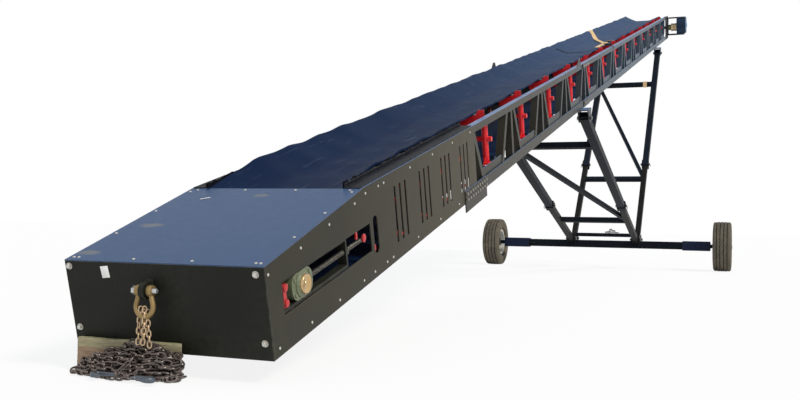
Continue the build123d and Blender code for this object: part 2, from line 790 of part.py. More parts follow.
def make_coupling():
    """Round coupling on the head shaft, outside the right-hand bearing."""
    y1 = -half_width - head_bearing_depth - coupling_start
    body = rod((head_pulley_s, y1 - coupling_length, head_pulley_n), (head_pulley_s, y1, head_pulley_n),
               coupling_radius)
    middle = y1 - coupling_length / 2
    low, high = middle - coupling_waist_half, middle + coupling_waist_half
    waist = (head_pulley_s, low, head_pulley_n), (head_pulley_s, high, head_pulley_n)
    body -= rod(*waist, coupling_radius + 1) - rod(*waist, coupling_waist_radius)
    return body - rod((head_pulley_s, y1 - coupling_length - 1, head_pulley_n),
                      (head_pulley_s, y1 + 1, head_pulley_n), head_shaft_radius + seat)


def drive_face():
    """Inner face of the gear motor, as a y value."""
    return -half_width - head_bearing_depth - coupling_start - coupling_length - motor_gap


def make_drive_frame():
    """Two bars from the right head plate out to the gear motor, above and below the coupling."""
    s1 = head_pulley_s + drive_frame_length / 2
    s0 = s1 - drive_frame_length
    y1 = -half_width - seat
    bars = []
    for n in (drive_frame_low, drive_frame_high):
        bars.append(block(s0, s1, drive_face() + seat, y1, n - drive_frame_wall, n))
    plate = block(s0, s1, y1 - 10, y1, drive_frame_low - drive_frame_wall, drive_frame_high)
    plate -= block(head_pulley_s - head_bearing_length / 2 - 8, s1 + 1, y1 - 11, y1 + 1,
                   head_pulley_n - head_bearing_height / 2 - 8, head_pulley_n + head_bearing_height / 2 + 8)
    return plate.fuse(*bars)


def make_gear_motor():
    """Round gear motor on the drive frame, with its stepped end cover."""
    n = head_pulley_n + motor_rise
    y1 = drive_face()
    y0 = y1 - motor_length
    body = rod((head_pulley_s, y0 + motor_cover_depth, n), (head_pulley_s, y1, n), motor_radius)
    cover = rod((head_pulley_s, y0, n), (head_pulley_s, y0 + motor_cover_depth + 1, n), motor_cover_radius)
    half = drive_frame_length / 2
    inner = y0 + motor_foot_in
    base = block(head_pulley_s - half, head_pulley_s + half, inner, y1,
                 drive_frame_low - drive_frame_wall, n)
    top = block(head_pulley_s - half, head_pulley_s + half, inner, y1, n, drive_frame_high)
    return body.fuse(cover, base, top)


def make_head_pulley():
    """Drum and shaft at the head; the shaft reaches through the gear."""
    half = head_pulley_length / 2
    drive_end = drive_face() + seat
    drum = rod((head_pulley_s, -half, head_pulley_n), (head_pulley_s, half, head_pulley_n),
               head_pulley_radius - seat)
    shaft = rod((head_pulley_s, drive_end, head_pulley_n),
                (head_pulley_s, half_width + head_bearing_depth, head_pulley_n), head_shaft_radius)
    return drum + shaft


def leg_line(front):
    """Top pin and foot pin of a leg in the standing frame, on the right side."""
    s = front_leg_s if front else rear_leg_s
    top = world(s, -leg_spread / 2, -leg_hang)
    way = -1 if front else 1
    foot = (axle_x + way * axle_lug_offset, -leg_spread / 2, axle_z + axle_lug_height)
    return Vector(*top), Vector(*foot)


def make_leg(front):
    """Sleeve and ram of a telescoping leg, held by a pin through the sleeve's collar."""
    top, foot = leg_line(front)
    way = (foot - top).normalized()
    length = front_sleeve_length if front else rear_sleeve_length
    across = Vector(0, sleeve_side / 2 + collar_wall + lock_pin_out, 0)
    start, end = top - way * leg_top_end, top + way * length
    lock = end - way * collar_length / 2
    sleeve = square_tube(start, end, sleeve_side, 0)
    sleeve += square_tube(end - way * collar_length, end, sleeve_side + 2 * collar_wall, 0)
    sleeve -= square_tube(start, end, sleeve_side - 2 * sleeve_wall, 0)
    sleeve -= rod(top - across, top + across, leg_pin_radius + seat)
    sleeve += rod(lock - across, lock + across, ram_hole_radius - seat)
    ram = square_tube(end - way * ram_overlap, foot + way * leg_foot_end, ram_side, ram_wall)
    ram -= rod(foot - across, foot + across, leg_pin_radius + seat)
    above = int((ram_overlap - collar_length) / ram_hole_pitch)
    below = int(((foot - lock).length - ram_side) / ram_hole_pitch)
    holes = [lock + way * k * ram_hole_pitch for k in range(-above, below + 1)]
    return sleeve, ram - [rod(hole - across, hole + across, ram_hole_radius) for hole in holes]


def make_leg_bracket(front):
    """Clevis under the bottom chord, with the pin through the leg's top."""
    s = front_leg_s if front else rear_leg_s
    y = -leg_spread / 2
    half = bracket_length / 2
    cheeks = []
    for way in (-1, 1):
        inner = y + way * (sleeve_side / 2 + seat)
        outer = inner + way * bracket_wall
        low = -leg_hang - bracket_below
        cheeks.append(side_slab([(s - half, -seat), (s - bracket_nose / 2, low), (s + bracket_nose / 2, low),
                                 (s + half, -seat)], min(inner, outer), max(inner, outer)))
    reach = sleeve_side / 2 + seat + bracket_wall
    plate = block(s - half, s + half, y - reach, y + reach, -bracket_wall - seat, -seat)
    reach += leg_pin_out
    pin = rod((s, y - reach, -leg_hang), (s, y + reach, -leg_hang), leg_pin_radius)
    return plate.fuse(*cheeks, pin)


def leg_point(front, z, side):
    """Point on a leg's centre line at a height above the floor."""
    top, foot = leg_line(front)
    share = (z - foot.Z) / (top.Z - foot.Z)
    return Vector(foot.X + (top.X - foot.X) * share, side * leg_spread / 2, z)


def cross_heights(front):
    """Heights of the upper and the lower cross tube between the legs."""
    top, foot = leg_line(front)
    if front:
        return top.Z - front_cross_drop, foot.Z + front_cross_rise
    return top.Z - rear_cross_drop, foot.Z + rear_cross_rise


def leg_half(front, z):
    """Half the side of the tube that a leg shows at a height: the sleeve's or the ram's."""
    top, foot = leg_line(front)
    length = front_sleeve_length if front else rear_sleeve_length
    sleeve_end = top + (foot - top).normalized() * length
    return (sleeve_side if z > sleeve_end.Z else ram_side) / 2


def make_cross(front, z):
    """Tube across from one leg to the other."""
    top, foot = leg_line(front)
    gap = Vector(0, leg_half(front, z) + seat, 0)
    right, left = leg_point(front, z, -1) + gap, leg_point(front, z, 1) - gap
    return square_tube(right, left, cross_side, cross_wall, sideways=(top - foot).normalized())


def make_brace(front):
    """Flat diagonal between the legs, from the upper left joint to the lower right one."""
    top, foot = leg_line(front)
    z_high, z_low = cross_heights(front)
    down = (foot - top).normalized()
    origin = (leg_point(front, z_high, 1) + leg_point(front, z_high, -1)) / 2
    reach = (leg_point(front, z_low, 1) - leg_point(front, z_high, 1)).length
    left = leg_spread / 2 - leg_half(front, z_high) - seat
    right = leg_spread / 2 - leg_half(front, z_low) - seat
    start, end = cross_side / 2 + 1, reach - cross_side / 2 - 1
    slant = hypot(end - start, left + right) / (left + right)
    width = brace_side * slant
    outline = [(start, left), (start + width, left), (end, -right), (end - width, -right)]
    plane = Plane(origin=origin, x_dir=down, z_dir=down.cross(Vector(0, 1, 0)))
    return extrude(plane * make_face(Polyline(*outline, close=True)), amount=brace_side / 2, both=True)


def make_axle():
    """Square axle beam with the spindles that the wheels turn on, welded into plugs at its ends."""
    reach = wheel_track / 2 - tyre_width / 2 - axle_end_gap
    across = (1, 0, 0)
    beam = square_tube((axle_x, -reach, axle_z), (axle_x, reach, axle_z), axle_side, axle_wall, across)
    tip = wheel_track / 2 + hub_length / 2 - spindle_short
    for side in (-1, 1):
        root, end = side * (reach - axle_plug), side * (reach - axle_plug / 2)
        beam += rod((axle_x, root, axle_z), (axle_x, side * tip, axle_z), spindle_radius)
        beam += square_tube((axle_x, root, axle_z), (axle_x, end, axle_z), axle_side, 0, across)
    return beam


def make_axle_sleeve():
    """Outer sleeve clamped over the right end of the axle beam."""
    outer = wheel_track / 2 - tyre_width / 2 - axle_end_gap - axle_sleeve_back
    inner = outer - axle_sleeve_length
    wall = (axle_sleeve_side - axle_side) / 2 - seat
    return square_tube((axle_x, -outer, axle_z), (axle_x, -inner, axle_z), axle_sleeve_side, wall, (1, 0, 0))


def make_axle_lugs():
    """Pairs of plates on the axle that hold the legs' feet, with their pins."""
    pieces = []
    for y in (-leg_spread / 2, leg_spread / 2):
        for way in (-1, 1):
            inner = ram_side / 2 + seat
            y0 = y + min(way * inner, way * (inner + axle_lug_wall))
            half = axle_side / 2 + seat
            reach = axle_lug_offset + axle_lug_end
            hook = half + axle_lug_hook
            front = [(reach, half), (reach, axle_lug_height + axle_lug_top)]
            hooked = [(hook, half), (hook, -half), (half, -half), (half, half)]
            outline = hooked[::-1] + front + [(-u, v) for u, v in front[::-1] + hooked]
            pieces.append(side_slab([(axle_x + u, axle_z + v) for u, v in outline], y0, y0 + axle_lug_wall))
    grouped = []
    for k, y in ((0, -leg_spread / 2), (2, leg_spread / 2)):
        reach = ram_side / 2 + axle_lug_wall + axle_pin_out
        pins = [rod((axle_x + way * axle_lug_offset, y - reach, axle_z + axle_lug_height),
                    (axle_x + way * axle_lug_offset, y + reach, axle_z + axle_lug_height), leg_pin_radius)
                for way in (-1, 1)]
        grouped.append(pieces[k].fuse(pieces[k + 1], *pins))
    return grouped


def make_axle_tie():
    """Light tube between the leg feet above the axle."""
    reach = leg_spread / 2 - ram_side / 2 - axle_lug_wall - 2 * seat
    z = axle_z + axle_tie_height
    return square_tube((axle_x, -reach, z), (axle_x, reach, z), axle_tie_side, 0, sideways=(1, 0, 0))


def make_tow_lug():
    """Level lug with an open eye, on the front face of the axle beam."""
    x0 = axle_x - axle_side / 2 - seat
    x = x0 - tow_lug_radius
    z0, z1 = axle_z - tow_lug_wall / 2, axle_z + tow_lug_wall / 2
    lug = rod((x, tow_lug_y, z0), (x, tow_lug_y, z1), tow_lug_radius)
    lug += block(x, x0, tow_lug_y - tow_lug_radius, tow_lug_y + tow_lug_radius, z0, z1)
    return lug - rod((x, tow_lug_y, z0 - 1), (x, tow_lug_y, z1 + 1), tow_lug_bore)


def turned(profile):
    """Wheel piece turned from its (y, radius) outline, on the right wheel's axis."""
    face = make_face(Polyline(*[(0, y, r) for y, r in profile], close=True))
    return Pos(axle_x, -wheel_track / 2, axle_z) * revolve(face, Axis.Y, 360)


def make_tyre():
    """Implement tyre: closed body whose crown is nearly flat."""
    half, r = tyre_width / 2, tyre_radius
    bead = rim_width / 2 - rim_wall - seat
    edge = rim_radius + rim_flange
    side = [(bead, rim_radius + seat), (bead, edge), (half * 0.93, edge + tyre_bead_rise),
            (half, edge + tyre_side_rise), (half * 0.94, r - tyre_shoulder_drop),
            (half * 0.82, r - tyre_crown_drop), (half * 0.3, r)]
    return turned(side + [(-y, radius) for y, radius in reversed(side)])


def make_rim():
    """Disc wheel: a barrel with turned flanges and a dished disc with hand holes."""
    half, r, w = rim_width / 2, rim_radius, rim_wall
    top = r + rim_flange
    barrel = turned([(-half, top), (-half + w, top), (-half + w, r), (half - w, r), (half - w, top),
                     (half, top), (half, r - w), (-half, r - w)])
    y = -rim_disc_offset
    disc = turned([(y, hub_radius + 1), (y - w, hub_radius + 1), (y - w, hub_flange_radius + 6),
                   (y + 30 - w, r - w - 20), (y + 30 - w, r - w), (y + 30, r - w), (y + 30, r - w - 24),
                   (y, hub_flange_radius + 2)])
    centre = (axle_x, -wheel_track / 2, axle_z)
    holes = [Pos(*centre) * Rot(0, k * 360 / hand_holes, 0)
             * rod((hand_hole_circle, -rim_width, 0), (hand_hole_circle, rim_width, 0), hand_hole_radius)
             for k in range(hand_holes)]
    return barrel + (disc - holes)


def make_hub():
    """Hub with its flange and cap, bored for the spindle."""
    half = hub_length / 2
    y = -rim_disc_offset
    bore = spindle_radius + spindle_clearance
    shoulder, top = -half + hub_shoulder, -half - hub_cap_depth
    back = y + hub_flange_wall
    return turned([(half, bore), (half, hub_radius), (back, hub_radius), (back, hub_flange_radius),
                   (y + seat, hub_flange_radius), (y + seat, hub_radius), (shoulder, hub_radius),
                   (shoulder - hub_chamfer, hub_cap_radius), (top + hub_chamfer, hub_cap_radius),
                   (top, hub_cap_radius - hub_chamfer), (top, 0), (-half, 0), (-half, bore)])


def make_shackle():
    """Bow shackle hanging from the tail lug: the bow, its two eyes and the pin."""
    x, _, z = world(shackle_s, shackle_y, shackle_n)
    ear_y = lug_wall / 2 + shackle_ear_gap + shackle_ear_half
    bow_z = z - shackle_drop
    rise = shackle_drop - (shackle_ear + shackle_pin) / 2
    turn = atan2(rise, ear_y) - acos(shackle_bow / hypot(rise, ear_y))
    side_y, side_z = shackle_bow * cos(turn), bow_z + shackle_bow * sin(turn)
    start = Plane(origin=(x, shackle_y + side_y, side_z), z_dir=(0, -sin(turn), cos(turn)))
    shackle = revolve(start * Circle(shackle_rod), Axis((x, shackle_y, bow_z), (-1, 0, 0)),
                      180 + 2 * degrees(turn))
    for side in (-1, 1):
        shackle += rod((x, shackle_y + side * side_y, side_z), (x, shackle_y + side * ear_y, bow_z + rise),
                       shackle_rod)
    for side in (-1, 1):
        shackle += rod((x, shackle_y + side * ear_y - shackle_ear_half, z),
                       (x, shackle_y + side * ear_y + shackle_ear_half, z), shackle_ear)
    reach = ear_y + shackle_ear_half + shackle_pin_out
    shackle -= rod((x, shackle_y - reach, z), (x, shackle_y + reach, z), shackle_pin + seat)
    head = ear_y + shackle_ear_half + shackle_ear_gap
    pin = rod((x, shackle_y - reach, z), (x, shackle_y + reach, z), shackle_pin)
    pin += rod((x, shackle_y + head, z), (x, shackle_y + reach, z), shackle_pin_head)
    return [shackle, pin]


def ring_outline(half_length, half_width, corner):
    """Long octagon: a link's outline with its ends cut back."""
    a, b, c = half_length, half_width, corner
    return [(-a, -b + c), (-a + c, -b), (a - c, -b), (a, -b + c), (a, b - c), (a - c, b), (-a + c, b),
            (-a, b - c)]


def make_link(centre, along, normal):
    """One chain link with its long axis along one direction and its flat face normal to another."""
    outer = make_face(Polyline(*ring_outline(link_half_length, link_half_width, link_corner), close=True))
    inner = make_face(Polyline(*ring_outline(link_half_length - link_rod, link_half_width - link_rod,
                                             link_corner - link_rod * 0.75), close=True))
    ring = extrude(outer - inner, amount=link_rod / 2, both=True)
    return Plane(origin=centre, x_dir=along, z_dir=normal).location * ring


def chain(points):
    """Links along a list of points one pitch apart, each turned a quarter from the last."""
    links = []
    up = Vector(0, 0, 1)
    for k in range(1, len(points) - 1):
        along = (points[k + 1] - points[k - 1]).normalized()
        side = along.cross(up) if abs(along.Z) < 0.9 else along.cross(Vector(0, 1, 0))
        side = side.normalized()
        rise = side.cross(along)
        normal = (side + rise) if k % 2 else (side - rise)
        links.append(make_link(points[k], along, normal.normalized()))
    return links


def make_hanging_chain():
    """Strands that hang from the bow down to the heap."""
    x, _, z = world(shackle_s, shackle_y, shackle_n)
    top = z - shackle_drop - shackle_bow - shackle_rod - link_half_length
    links = []
    strand_gap = (link_half_width + link_rod / 2) * sqrt(2) + seat
    for side in (-1, 0, 1):
        points = [Vector(x, shackle_y + side * strand_gap, top + link_pitch - j * link_pitch)
                  for j in range(strand_links + 2)]
        links += chain(points)
    return links


def row_points(row):
    """Middles of the links of one row of the heap, with a point more at each end."""
    back, count, shift, level = heap_rows[row]
    layer = heap_row_pitch / 2 + link_rod * sqrt(2) + seat
    z = link_reach + seat + level * layer
    x = tail_x + heap_x + back * heap_row_pitch
    across = [shift + (k - (count + 1) / 2) * link_pitch for k in range(count + 2)]
    return [Vector(x - heap_bow * (1 - (2 * y / heap_bow_length) ** 2), heap_y + y, z) for y in across]


def make_chain_heap():
    """Chain lying in bowed rows on the floor, layer on layer, in front of the timber."""
    return [link for row in range(len(heap_rows)) for link in chain(row_points(row))]


def make_hooks():
    """Two grab hooks lying on the floor, their eyes against links of the heap's front row."""
    points = row_points(0)
    hooks = []
    for k, way in hook_links:
        along = (points[k + 1] - points[k - 1]).normalized() * way
        outwards = Vector(0, 0, way).cross(along)
        eye = points[k] + outwards * (link_reach + seat + hook_eye)
        bend = Pos(hook_shank, way * hook_bend) * (Circle(hook_bend + hook_width / 2)
                                                   - Circle(hook_bend - hook_width / 2))
        bend -= Pos(hook_shank - hook_bend * 2, way * hook_bend) * Rectangle(hook_bend * 4, hook_bend * 4)
        shank = Pos(hook_shank / 2, 0) * Rectangle(hook_shank, hook_width)
        tip = Pos(hook_shank - hook_tip / 2, way * 2 * hook_bend) * Rectangle(hook_tip, hook_width)
        shape = Circle(hook_eye) + shank + bend + tip - Circle(hook_eye_bore)
        plane = Plane(origin=(eye.X, eye.Y, seat), x_dir=along, z_dir=(0, 0, 1))
        hooks.append(extrude(plane * shape, amount=hook_wall))
    return hooks


def make_timber():
    """Block of timber under the tail, with a rebate that the end plate's lower edge sits in."""
    edge = world(0, 0, 0)[0]
    lean = (timber_lip + timber_slack) * tan(rise_angle)
    front, back = edge - timber_front, edge - timber_front + timber_depth
    outline = [(front, 0), (front, tail_height + timber_lip), (edge - lean, tail_height + timber_lip),
               (edge - seat, tail_height - seat), (back, tail_height - seat), (back, 0)]
    return side_slab(outline, timber_y - timber_length / 2, timber_y + timber_length / 2)


def make_strap():
    """Tie-down strap laid across the belt from chord to chord."""
    s = node_s(strap_node)
    top = frame_depth + 0.5
    level = trough_level + belt_wall + 1
    a = radians(trough_angle)
    edge_y = centre_half + wing_length * cos(a) + belt_wall
    edge_n = trough_level + wing_length * sin(a) + belt_wall + 2
    line = [(-half_width, top), (-edge_y - 14, edge_n), (-edge_y + 14, edge_n + 2), (-centre_half, level),
            (centre_half, level), (edge_y - 14, edge_n + 2), (edge_y + 14, edge_n), (half_width, top)]
    return long_bar(line + [(y, n + strap_wall) for y, n in reversed(line)], s, s + strap_width)


os.makedirs("parts", exist_ok=True)
bearing_y = -half_width + panel_wall

save("tail_end_plate", raised(make_end_plate()))
save("tail_cover", raised(make_cover()))
save_pair("tail_side_panel", raised(make_side_panel()))
save("tail_floor", raised(make_tail_floor()))
save_both("take_up_frames", raised(make_take_up_frame()))
save_both("take_up_screws", raised(make_take_up_screw()))
save_both("take_up_bearings", raised(make_bearing(
    tail_pulley_s, tail_pulley_n, bearing_y, bearing_y + bearing_depth, bearing_length,
    bearing_height, tail_shaft_radius)))
save("tail_pulley", raised(make_tail_pulley()))
save_pair("side_truss", raised(make_side_truss()))
save("truss_crossbars", [raised(bar) for bar in make_crossbars()])
save_both("chord_splices", [raised(plate) for plate in make_splices()])
save_pair("head_plate", raised(make_head_plate()))
save_both("head_bearings", raised(make_bearing(
    head_pulley_s, head_pulley_n, -half_width - head_bearing_depth, -half_width, head_bearing_length,
    head_bearing_height, head_shaft_radius)))
save("head_pulley", raised(make_head_pulley()))
save("drive_coupling", raised(make_coupling()))
save("drive_frame", raised(make_drive_frame()))
save("gear_motor", raised(make_gear_motor()))
save("belt", raised(make_belt()))
save("trough_rolls", [raised(roll) for roll in make_trough_rolls()])
save("return_rolls", [raised(roll) for roll in make_return_rolls()])
save("idler_stands", [raised(stand) for stand in make_idler_stands()])
save("loading_idler_frames", [raised(piece) for piece in make_loading_frames()])
save_both("belt_skirts", raised(make_skirt()))
save_both("skirt_angles", raised(make_skirt_angle()))
save("belt_strap", raised(make_strap()))

for name, front in (("front", True), ("rear", False)):
    sleeve, ram = make_leg(front)
    save_pair(f"{name}_leg_sleeve", sleeve)
    save_pair(f"{name}_leg_ram", ram)
save_both("leg_brackets", [raised(make_leg_bracket(True)), raised(make_leg_bracket(False))])
save("front_leg_crossbars", [make_cross(True, z) for z in cross_heights(True)])
save("rear_leg_crossbars", [make_cross(False, z) for z in cross_heights(False)])
save("leg_braces", [make_brace(True), make_brace(False)])
save("axle_beam", make_axle())
save_both("axle_sleeves", make_axle_sleeve())
save("axle_leg_lugs", make_axle_lugs())
save("axle_tie", make_axle_tie())
save("tow_lug", make_tow_lug())
save_pair("tyre", make_tyre())
save_pair("rim", make_rim())
save_pair("hub", make_hub())
save("tail_shackle", make_shackle())
save("hanging_chain", make_hanging_chain())
save("chain_heap", make_chain_heap())
save("grab_hooks", make_hooks())
save("tail_timber", make_timber())
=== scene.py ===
import math
import bmesh
import bpy
import numpy as np
from mathutils import Matrix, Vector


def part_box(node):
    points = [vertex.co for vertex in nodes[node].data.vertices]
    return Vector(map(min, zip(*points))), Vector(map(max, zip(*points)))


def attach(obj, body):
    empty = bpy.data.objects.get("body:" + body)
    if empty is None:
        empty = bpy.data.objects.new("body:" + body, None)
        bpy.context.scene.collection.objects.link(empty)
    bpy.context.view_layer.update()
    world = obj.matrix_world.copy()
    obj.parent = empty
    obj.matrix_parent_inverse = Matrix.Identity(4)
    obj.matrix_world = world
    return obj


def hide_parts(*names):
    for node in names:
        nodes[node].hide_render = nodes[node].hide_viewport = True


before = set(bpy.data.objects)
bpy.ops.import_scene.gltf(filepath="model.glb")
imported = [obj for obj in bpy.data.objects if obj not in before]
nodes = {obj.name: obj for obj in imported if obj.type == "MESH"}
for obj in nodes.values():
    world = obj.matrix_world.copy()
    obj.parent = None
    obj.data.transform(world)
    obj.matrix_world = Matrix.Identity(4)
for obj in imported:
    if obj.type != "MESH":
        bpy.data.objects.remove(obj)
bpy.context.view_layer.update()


# Camera: low in front of the tail's right corner, where the photograph was
# taken from. Its place is given from the lower edge of the tail plate.
CAMERA_BEHIND, CAMERA_Y, CAMERA_Z = 3.266, -2.283, 0.662
CAMERA_YAW, CAMERA_PITCH, CAMERA_ROLL = 0.36877, 0.02665, 0.01646
LENS = 41.02


def lowest_point(node_name):
    """The vertex of a CAD node with the least height, as (x, y, z)."""
    mesh = nodes[node_name].data
    corners = np.zeros(len(mesh.vertices) * 3, np.float32)
    mesh.vertices.foreach_get("co", corners)
    corners = corners.reshape(-1, 3)
    return corners[np.argmin(corners[:, 2])]


def camera_axes(yaw, pitch, roll):
    """Right, up and back unit vectors, as columns, of a view along yaw and pitch, then rolled."""
    ahead = np.array([math.cos(pitch) * math.cos(yaw), math.cos(pitch) * math.sin(yaw), math.sin(pitch)])
    right = np.array([math.sin(yaw), -math.cos(yaw), 0.0])
    up = np.cross(right, ahead)
    return np.array([right * math.cos(roll) + up * math.sin(roll),
                     up * math.cos(roll) - right * math.sin(roll), -ahead]).T


TAIL_X, TAIL_Z = (float(v) for v in lowest_point("tail_end_plate")[[0, 2]])
camera_data = bpy.data.cameras.new("camera")
camera_data.lens = LENS
camera_data.sensor_width = 36.0
camera_data.clip_end = 200.0
camera = bpy.data.objects.new("camera", camera_data)
bpy.context.scene.collection.objects.link(camera)
turn_and_place = np.eye(4)
turn_and_place[:3, :3] = camera_axes(CAMERA_YAW, CAMERA_PITCH, CAMERA_ROLL)
turn_and_place[:3, 3] = (TAIL_X - CAMERA_BEHIND, CAMERA_Y, CAMERA_Z)
camera.matrix_world = Matrix(turn_and_place.tolist())
bpy.context.scene.camera = camera
bpy.context.scene.view_settings.view_transform = "Standard"


# Light and floor: a high soft sun from the machine's right, as on the day,
# an even pale sky and a white floor. Only camera, glossy and transmitted rays
# see the white of the backdrop.
SUN_STRENGTH, SUN_SOFTNESS = 2.3, math.radians(14)
SUN_COLOUR = (1.0, 0.95, 0.88)
SUN_TURN = (math.radians(46), math.radians(-12), math.radians(-8))
SKY_COLOUR, SKY_STRENGTH = (0.86, 0.93, 1.0, 1.0), 0.55
FLOOR_SPAN, FLOOR_LIFT = 120.0, 0.86
WHITE = (1, 1, 1, 1)


def node(tree, kind, inputs=(), **settings):
    """A shader node with its settings made; each input gets a value or a link from a socket."""
    made = tree.nodes.new("ShaderNode" + kind)
    for key, value in settings.items():
        setattr(made, key, value)
    for key, value in dict(inputs).items():
        if isinstance(value, bpy.types.NodeSocket):
            tree.links.new(value, made.inputs[key])
        else:
            made.inputs[key].default_value = value
    return made


def ramp(tree, value, low, high, start=0.0, end=1.0, **settings):
    """A value brought from low..high to start..end, and held there beyond."""
    return node(tree, "MapRange", {"Value": value, "From Min": low, "From Max": high, "To Min": start,
                                   "To Max": end}, **settings).outputs[0]


def combined(tree, operation, *values):
    """One value worked out of others by a Math node."""
    return node(tree, "Math", enumerate(values), operation=operation).outputs[0]


def mixed(tree, share, first, second, **settings):
    """Two colours mixed by a share."""
    return node(tree, "Mix", {0: share, 6: first, 7: second}, data_type="RGBA", **settings).outputs[2]


def seen_in_picture(tree):
    """1 for camera, glossy and transmitted rays, which see the white backdrop, and 0 for all others."""
    ray = node(tree, "LightPath")
    seen = combined(tree, "MAXIMUM", ray.outputs["Is Camera Ray"], ray.outputs["Is Glossy Ray"])
    return combined(tree, "MAXIMUM", seen, ray.outputs["Is Transmission Ray"])


sun_data = bpy.data.lights.new("sun", "SUN")
sun_data.energy, sun_data.angle = SUN_STRENGTH, SUN_SOFTNESS
sun_data.color = SUN_COLOUR
sun = bpy.data.objects.new("sun", sun_data)
sun.rotation_euler = SUN_TURN
bpy.context.scene.collection.objects.link(sun)

world = bpy.data.worlds.new("sky")
bpy.context.scene.world = world
world.use_nodes = True
sky = world.node_tree
sky.nodes.clear()
light = node(sky, "Background", {"Color": SKY_COLOUR, "Strength": SKY_STRENGTH})
backdrop = node(sky, "Background", {"Color": WHITE, "Strength": 1.0})
either = node(sky, "MixShader", {0: seen_in_picture(sky), 1: light.outputs[0], 2: backdrop.outputs[0]})
node(sky, "OutputWorld", {"Surface": either.outputs[0]})

floor_mesh = bpy.data.meshes.new("floor")
floor_corners = np.array([(-1, -1, 0), (1, -1, 0), (1, 1, 0), (-1, 1, 0)]) * FLOOR_SPAN
floor_mesh.from_pydata(floor_corners.tolist(), [], [(0, 1, 2, 3)])
floor = bpy.data.objects.new("floor", floor_mesh)
bpy.context.scene.collection.objects.link(floor)
floor_paper = bpy.data.materials.new("floor_paper")
floor_paper.use_nodes = True
paper = floor_paper.node_tree
speckle = node(paper, "TexNoise", {"Vector": node(paper, "TexCoord").outputs["Object"], "Scale": 3.0})
matt = paper.nodes["Principled BSDF"]
paper.links.new(ramp(paper, speckle.outputs[0], 0.0, 1.0, 0.90, 0.94), matt.inputs["Base Color"])
matt.inputs["Roughness"].default_value = 1.0
matt.inputs["Specular IOR Level"].default_value = 0.0
lift = combined(paper, "MULTIPLY", seen_in_picture(paper), FLOOR_LIFT)
white = node(paper, "Emission", {"Color": WHITE, "Strength": 1.0})
lifted = node(paper, "MixShader", {0: lift, 1: matt.outputs[0], 2: white.outputs[0]})
paper.links.new(lifted.outputs[0], paper.nodes["Material Output"].inputs["Surface"])
floor_mesh.materials.append(floor_paper)


# Paint and dust: the frame is sprayed satin black that has greyed out of doors. Dust lies on what faces
# up, and flat tops get a top colour: on painted steel it is a painted reflection of the sky.
WORN_EDGE, RELIEF = 0.005, 0.002


def shader_group(name, inputs, outputs):
    """An empty node group with named sockets, and its input and output nodes."""
    tree = bpy.data.node_groups.new(name, "ShaderNodeTree")
    for way, sockets in (("INPUT", inputs), ("OUTPUT", outputs)):
        for label, kind in sockets:
            tree.interface.new_socket(label, in_out=way, socket_type="NodeSocket" + kind)
    return tree, tree.nodes.new("NodeGroupInput"), tree.nodes.new("NodeGroupOutput")


weather_and_painted_sky, given, result = shader_group(
    "weather_and_painted_sky",
    [("Coat", "Color"), ("Dust", "Color"), ("Dust Amount", "Float"), ("Top Colour", "Color"),
     ("Top Amount", "Float"), ("Grain", "Float"), ("Roughness", "Float"), ("Edge", "Color"),
     ("Edge Amount", "Float")],
    [("Color", "Color"), ("Roughness", "Float"), ("Height", "Float")])
spot = node(weather_and_painted_sky, "TexCoord").outputs["Object"]
outwards = node(weather_and_painted_sky, "NewGeometry").outputs["Normal"]
fine = node(weather_and_painted_sky, "TexNoise", {"Vector": spot, "Scale": given.outputs["Grain"], "Detail": 6.0,
                                  "Roughness": 0.6}).outputs[0]
broad = node(weather_and_painted_sky, "TexNoise", {"Vector": spot, "Scale": 2.3, "Detail": 3.0}).outputs[0]
upward = node(weather_and_painted_sky, "SeparateXYZ", {0: outwards}).outputs["Z"]
flat = ramp(weather_and_painted_sky, upward, 0.55, 0.95, interpolation_type="SMOOTHSTEP")
grit = ramp(weather_and_painted_sky, fine, 0.35, 0.75)
dusty = combined(weather_and_painted_sky, "MULTIPLY", ramp(weather_and_painted_sky, broad, 0.38, 0.68), grit)
dusty = combined(weather_and_painted_sky, "MULTIPLY", dusty, ramp(weather_and_painted_sky, flat, 0.0, 1.0, 0.5, 1.0))
dusty = combined(weather_and_painted_sky, "MULTIPLY", dusty, given.outputs["Dust Amount"])
# The top colour on upward faces: a painted reflection of the sky on painted steel, a damp stain on timber.
shown = combined(weather_and_painted_sky, "MULTIPLY", flat, given.outputs["Top Amount"])
toned = mixed(weather_and_painted_sky, shown, given.outputs["Coat"], given.outputs["Top Colour"])
dulled = mixed(weather_and_painted_sky, dusty, toned, given.outputs["Dust"])
rougher = combined(weather_and_painted_sky, "MULTIPLY_ADD", dusty, 0.35, given.outputs["Roughness"])
rougher = combined(weather_and_painted_sky, "ADD", rougher, ramp(weather_and_painted_sky, fine, 0.0, 1.0, -0.06, 0.06))
rounded = node(weather_and_painted_sky, "Bevel", {"Radius": WORN_EDGE}, samples=4)
level = node(weather_and_painted_sky, "VectorMath", {0: rounded.outputs[0], 1: outwards}, operation="DOT_PRODUCT")
corner = combined(weather_and_painted_sky, "MULTIPLY", ramp(weather_and_painted_sky, level.outputs["Value"], 0.985, 0.86), grit)
corner = combined(weather_and_painted_sky, "MULTIPLY", corner, given.outputs["Edge Amount"])
weather_and_painted_sky.links.new(mixed(weather_and_painted_sky, corner, dulled, given.outputs["Edge"]), result.inputs["Color"])
weather_and_painted_sky.links.new(rougher, result.inputs["Roughness"])
weather_and_painted_sky.links.new(fine, result.inputs["Height"])


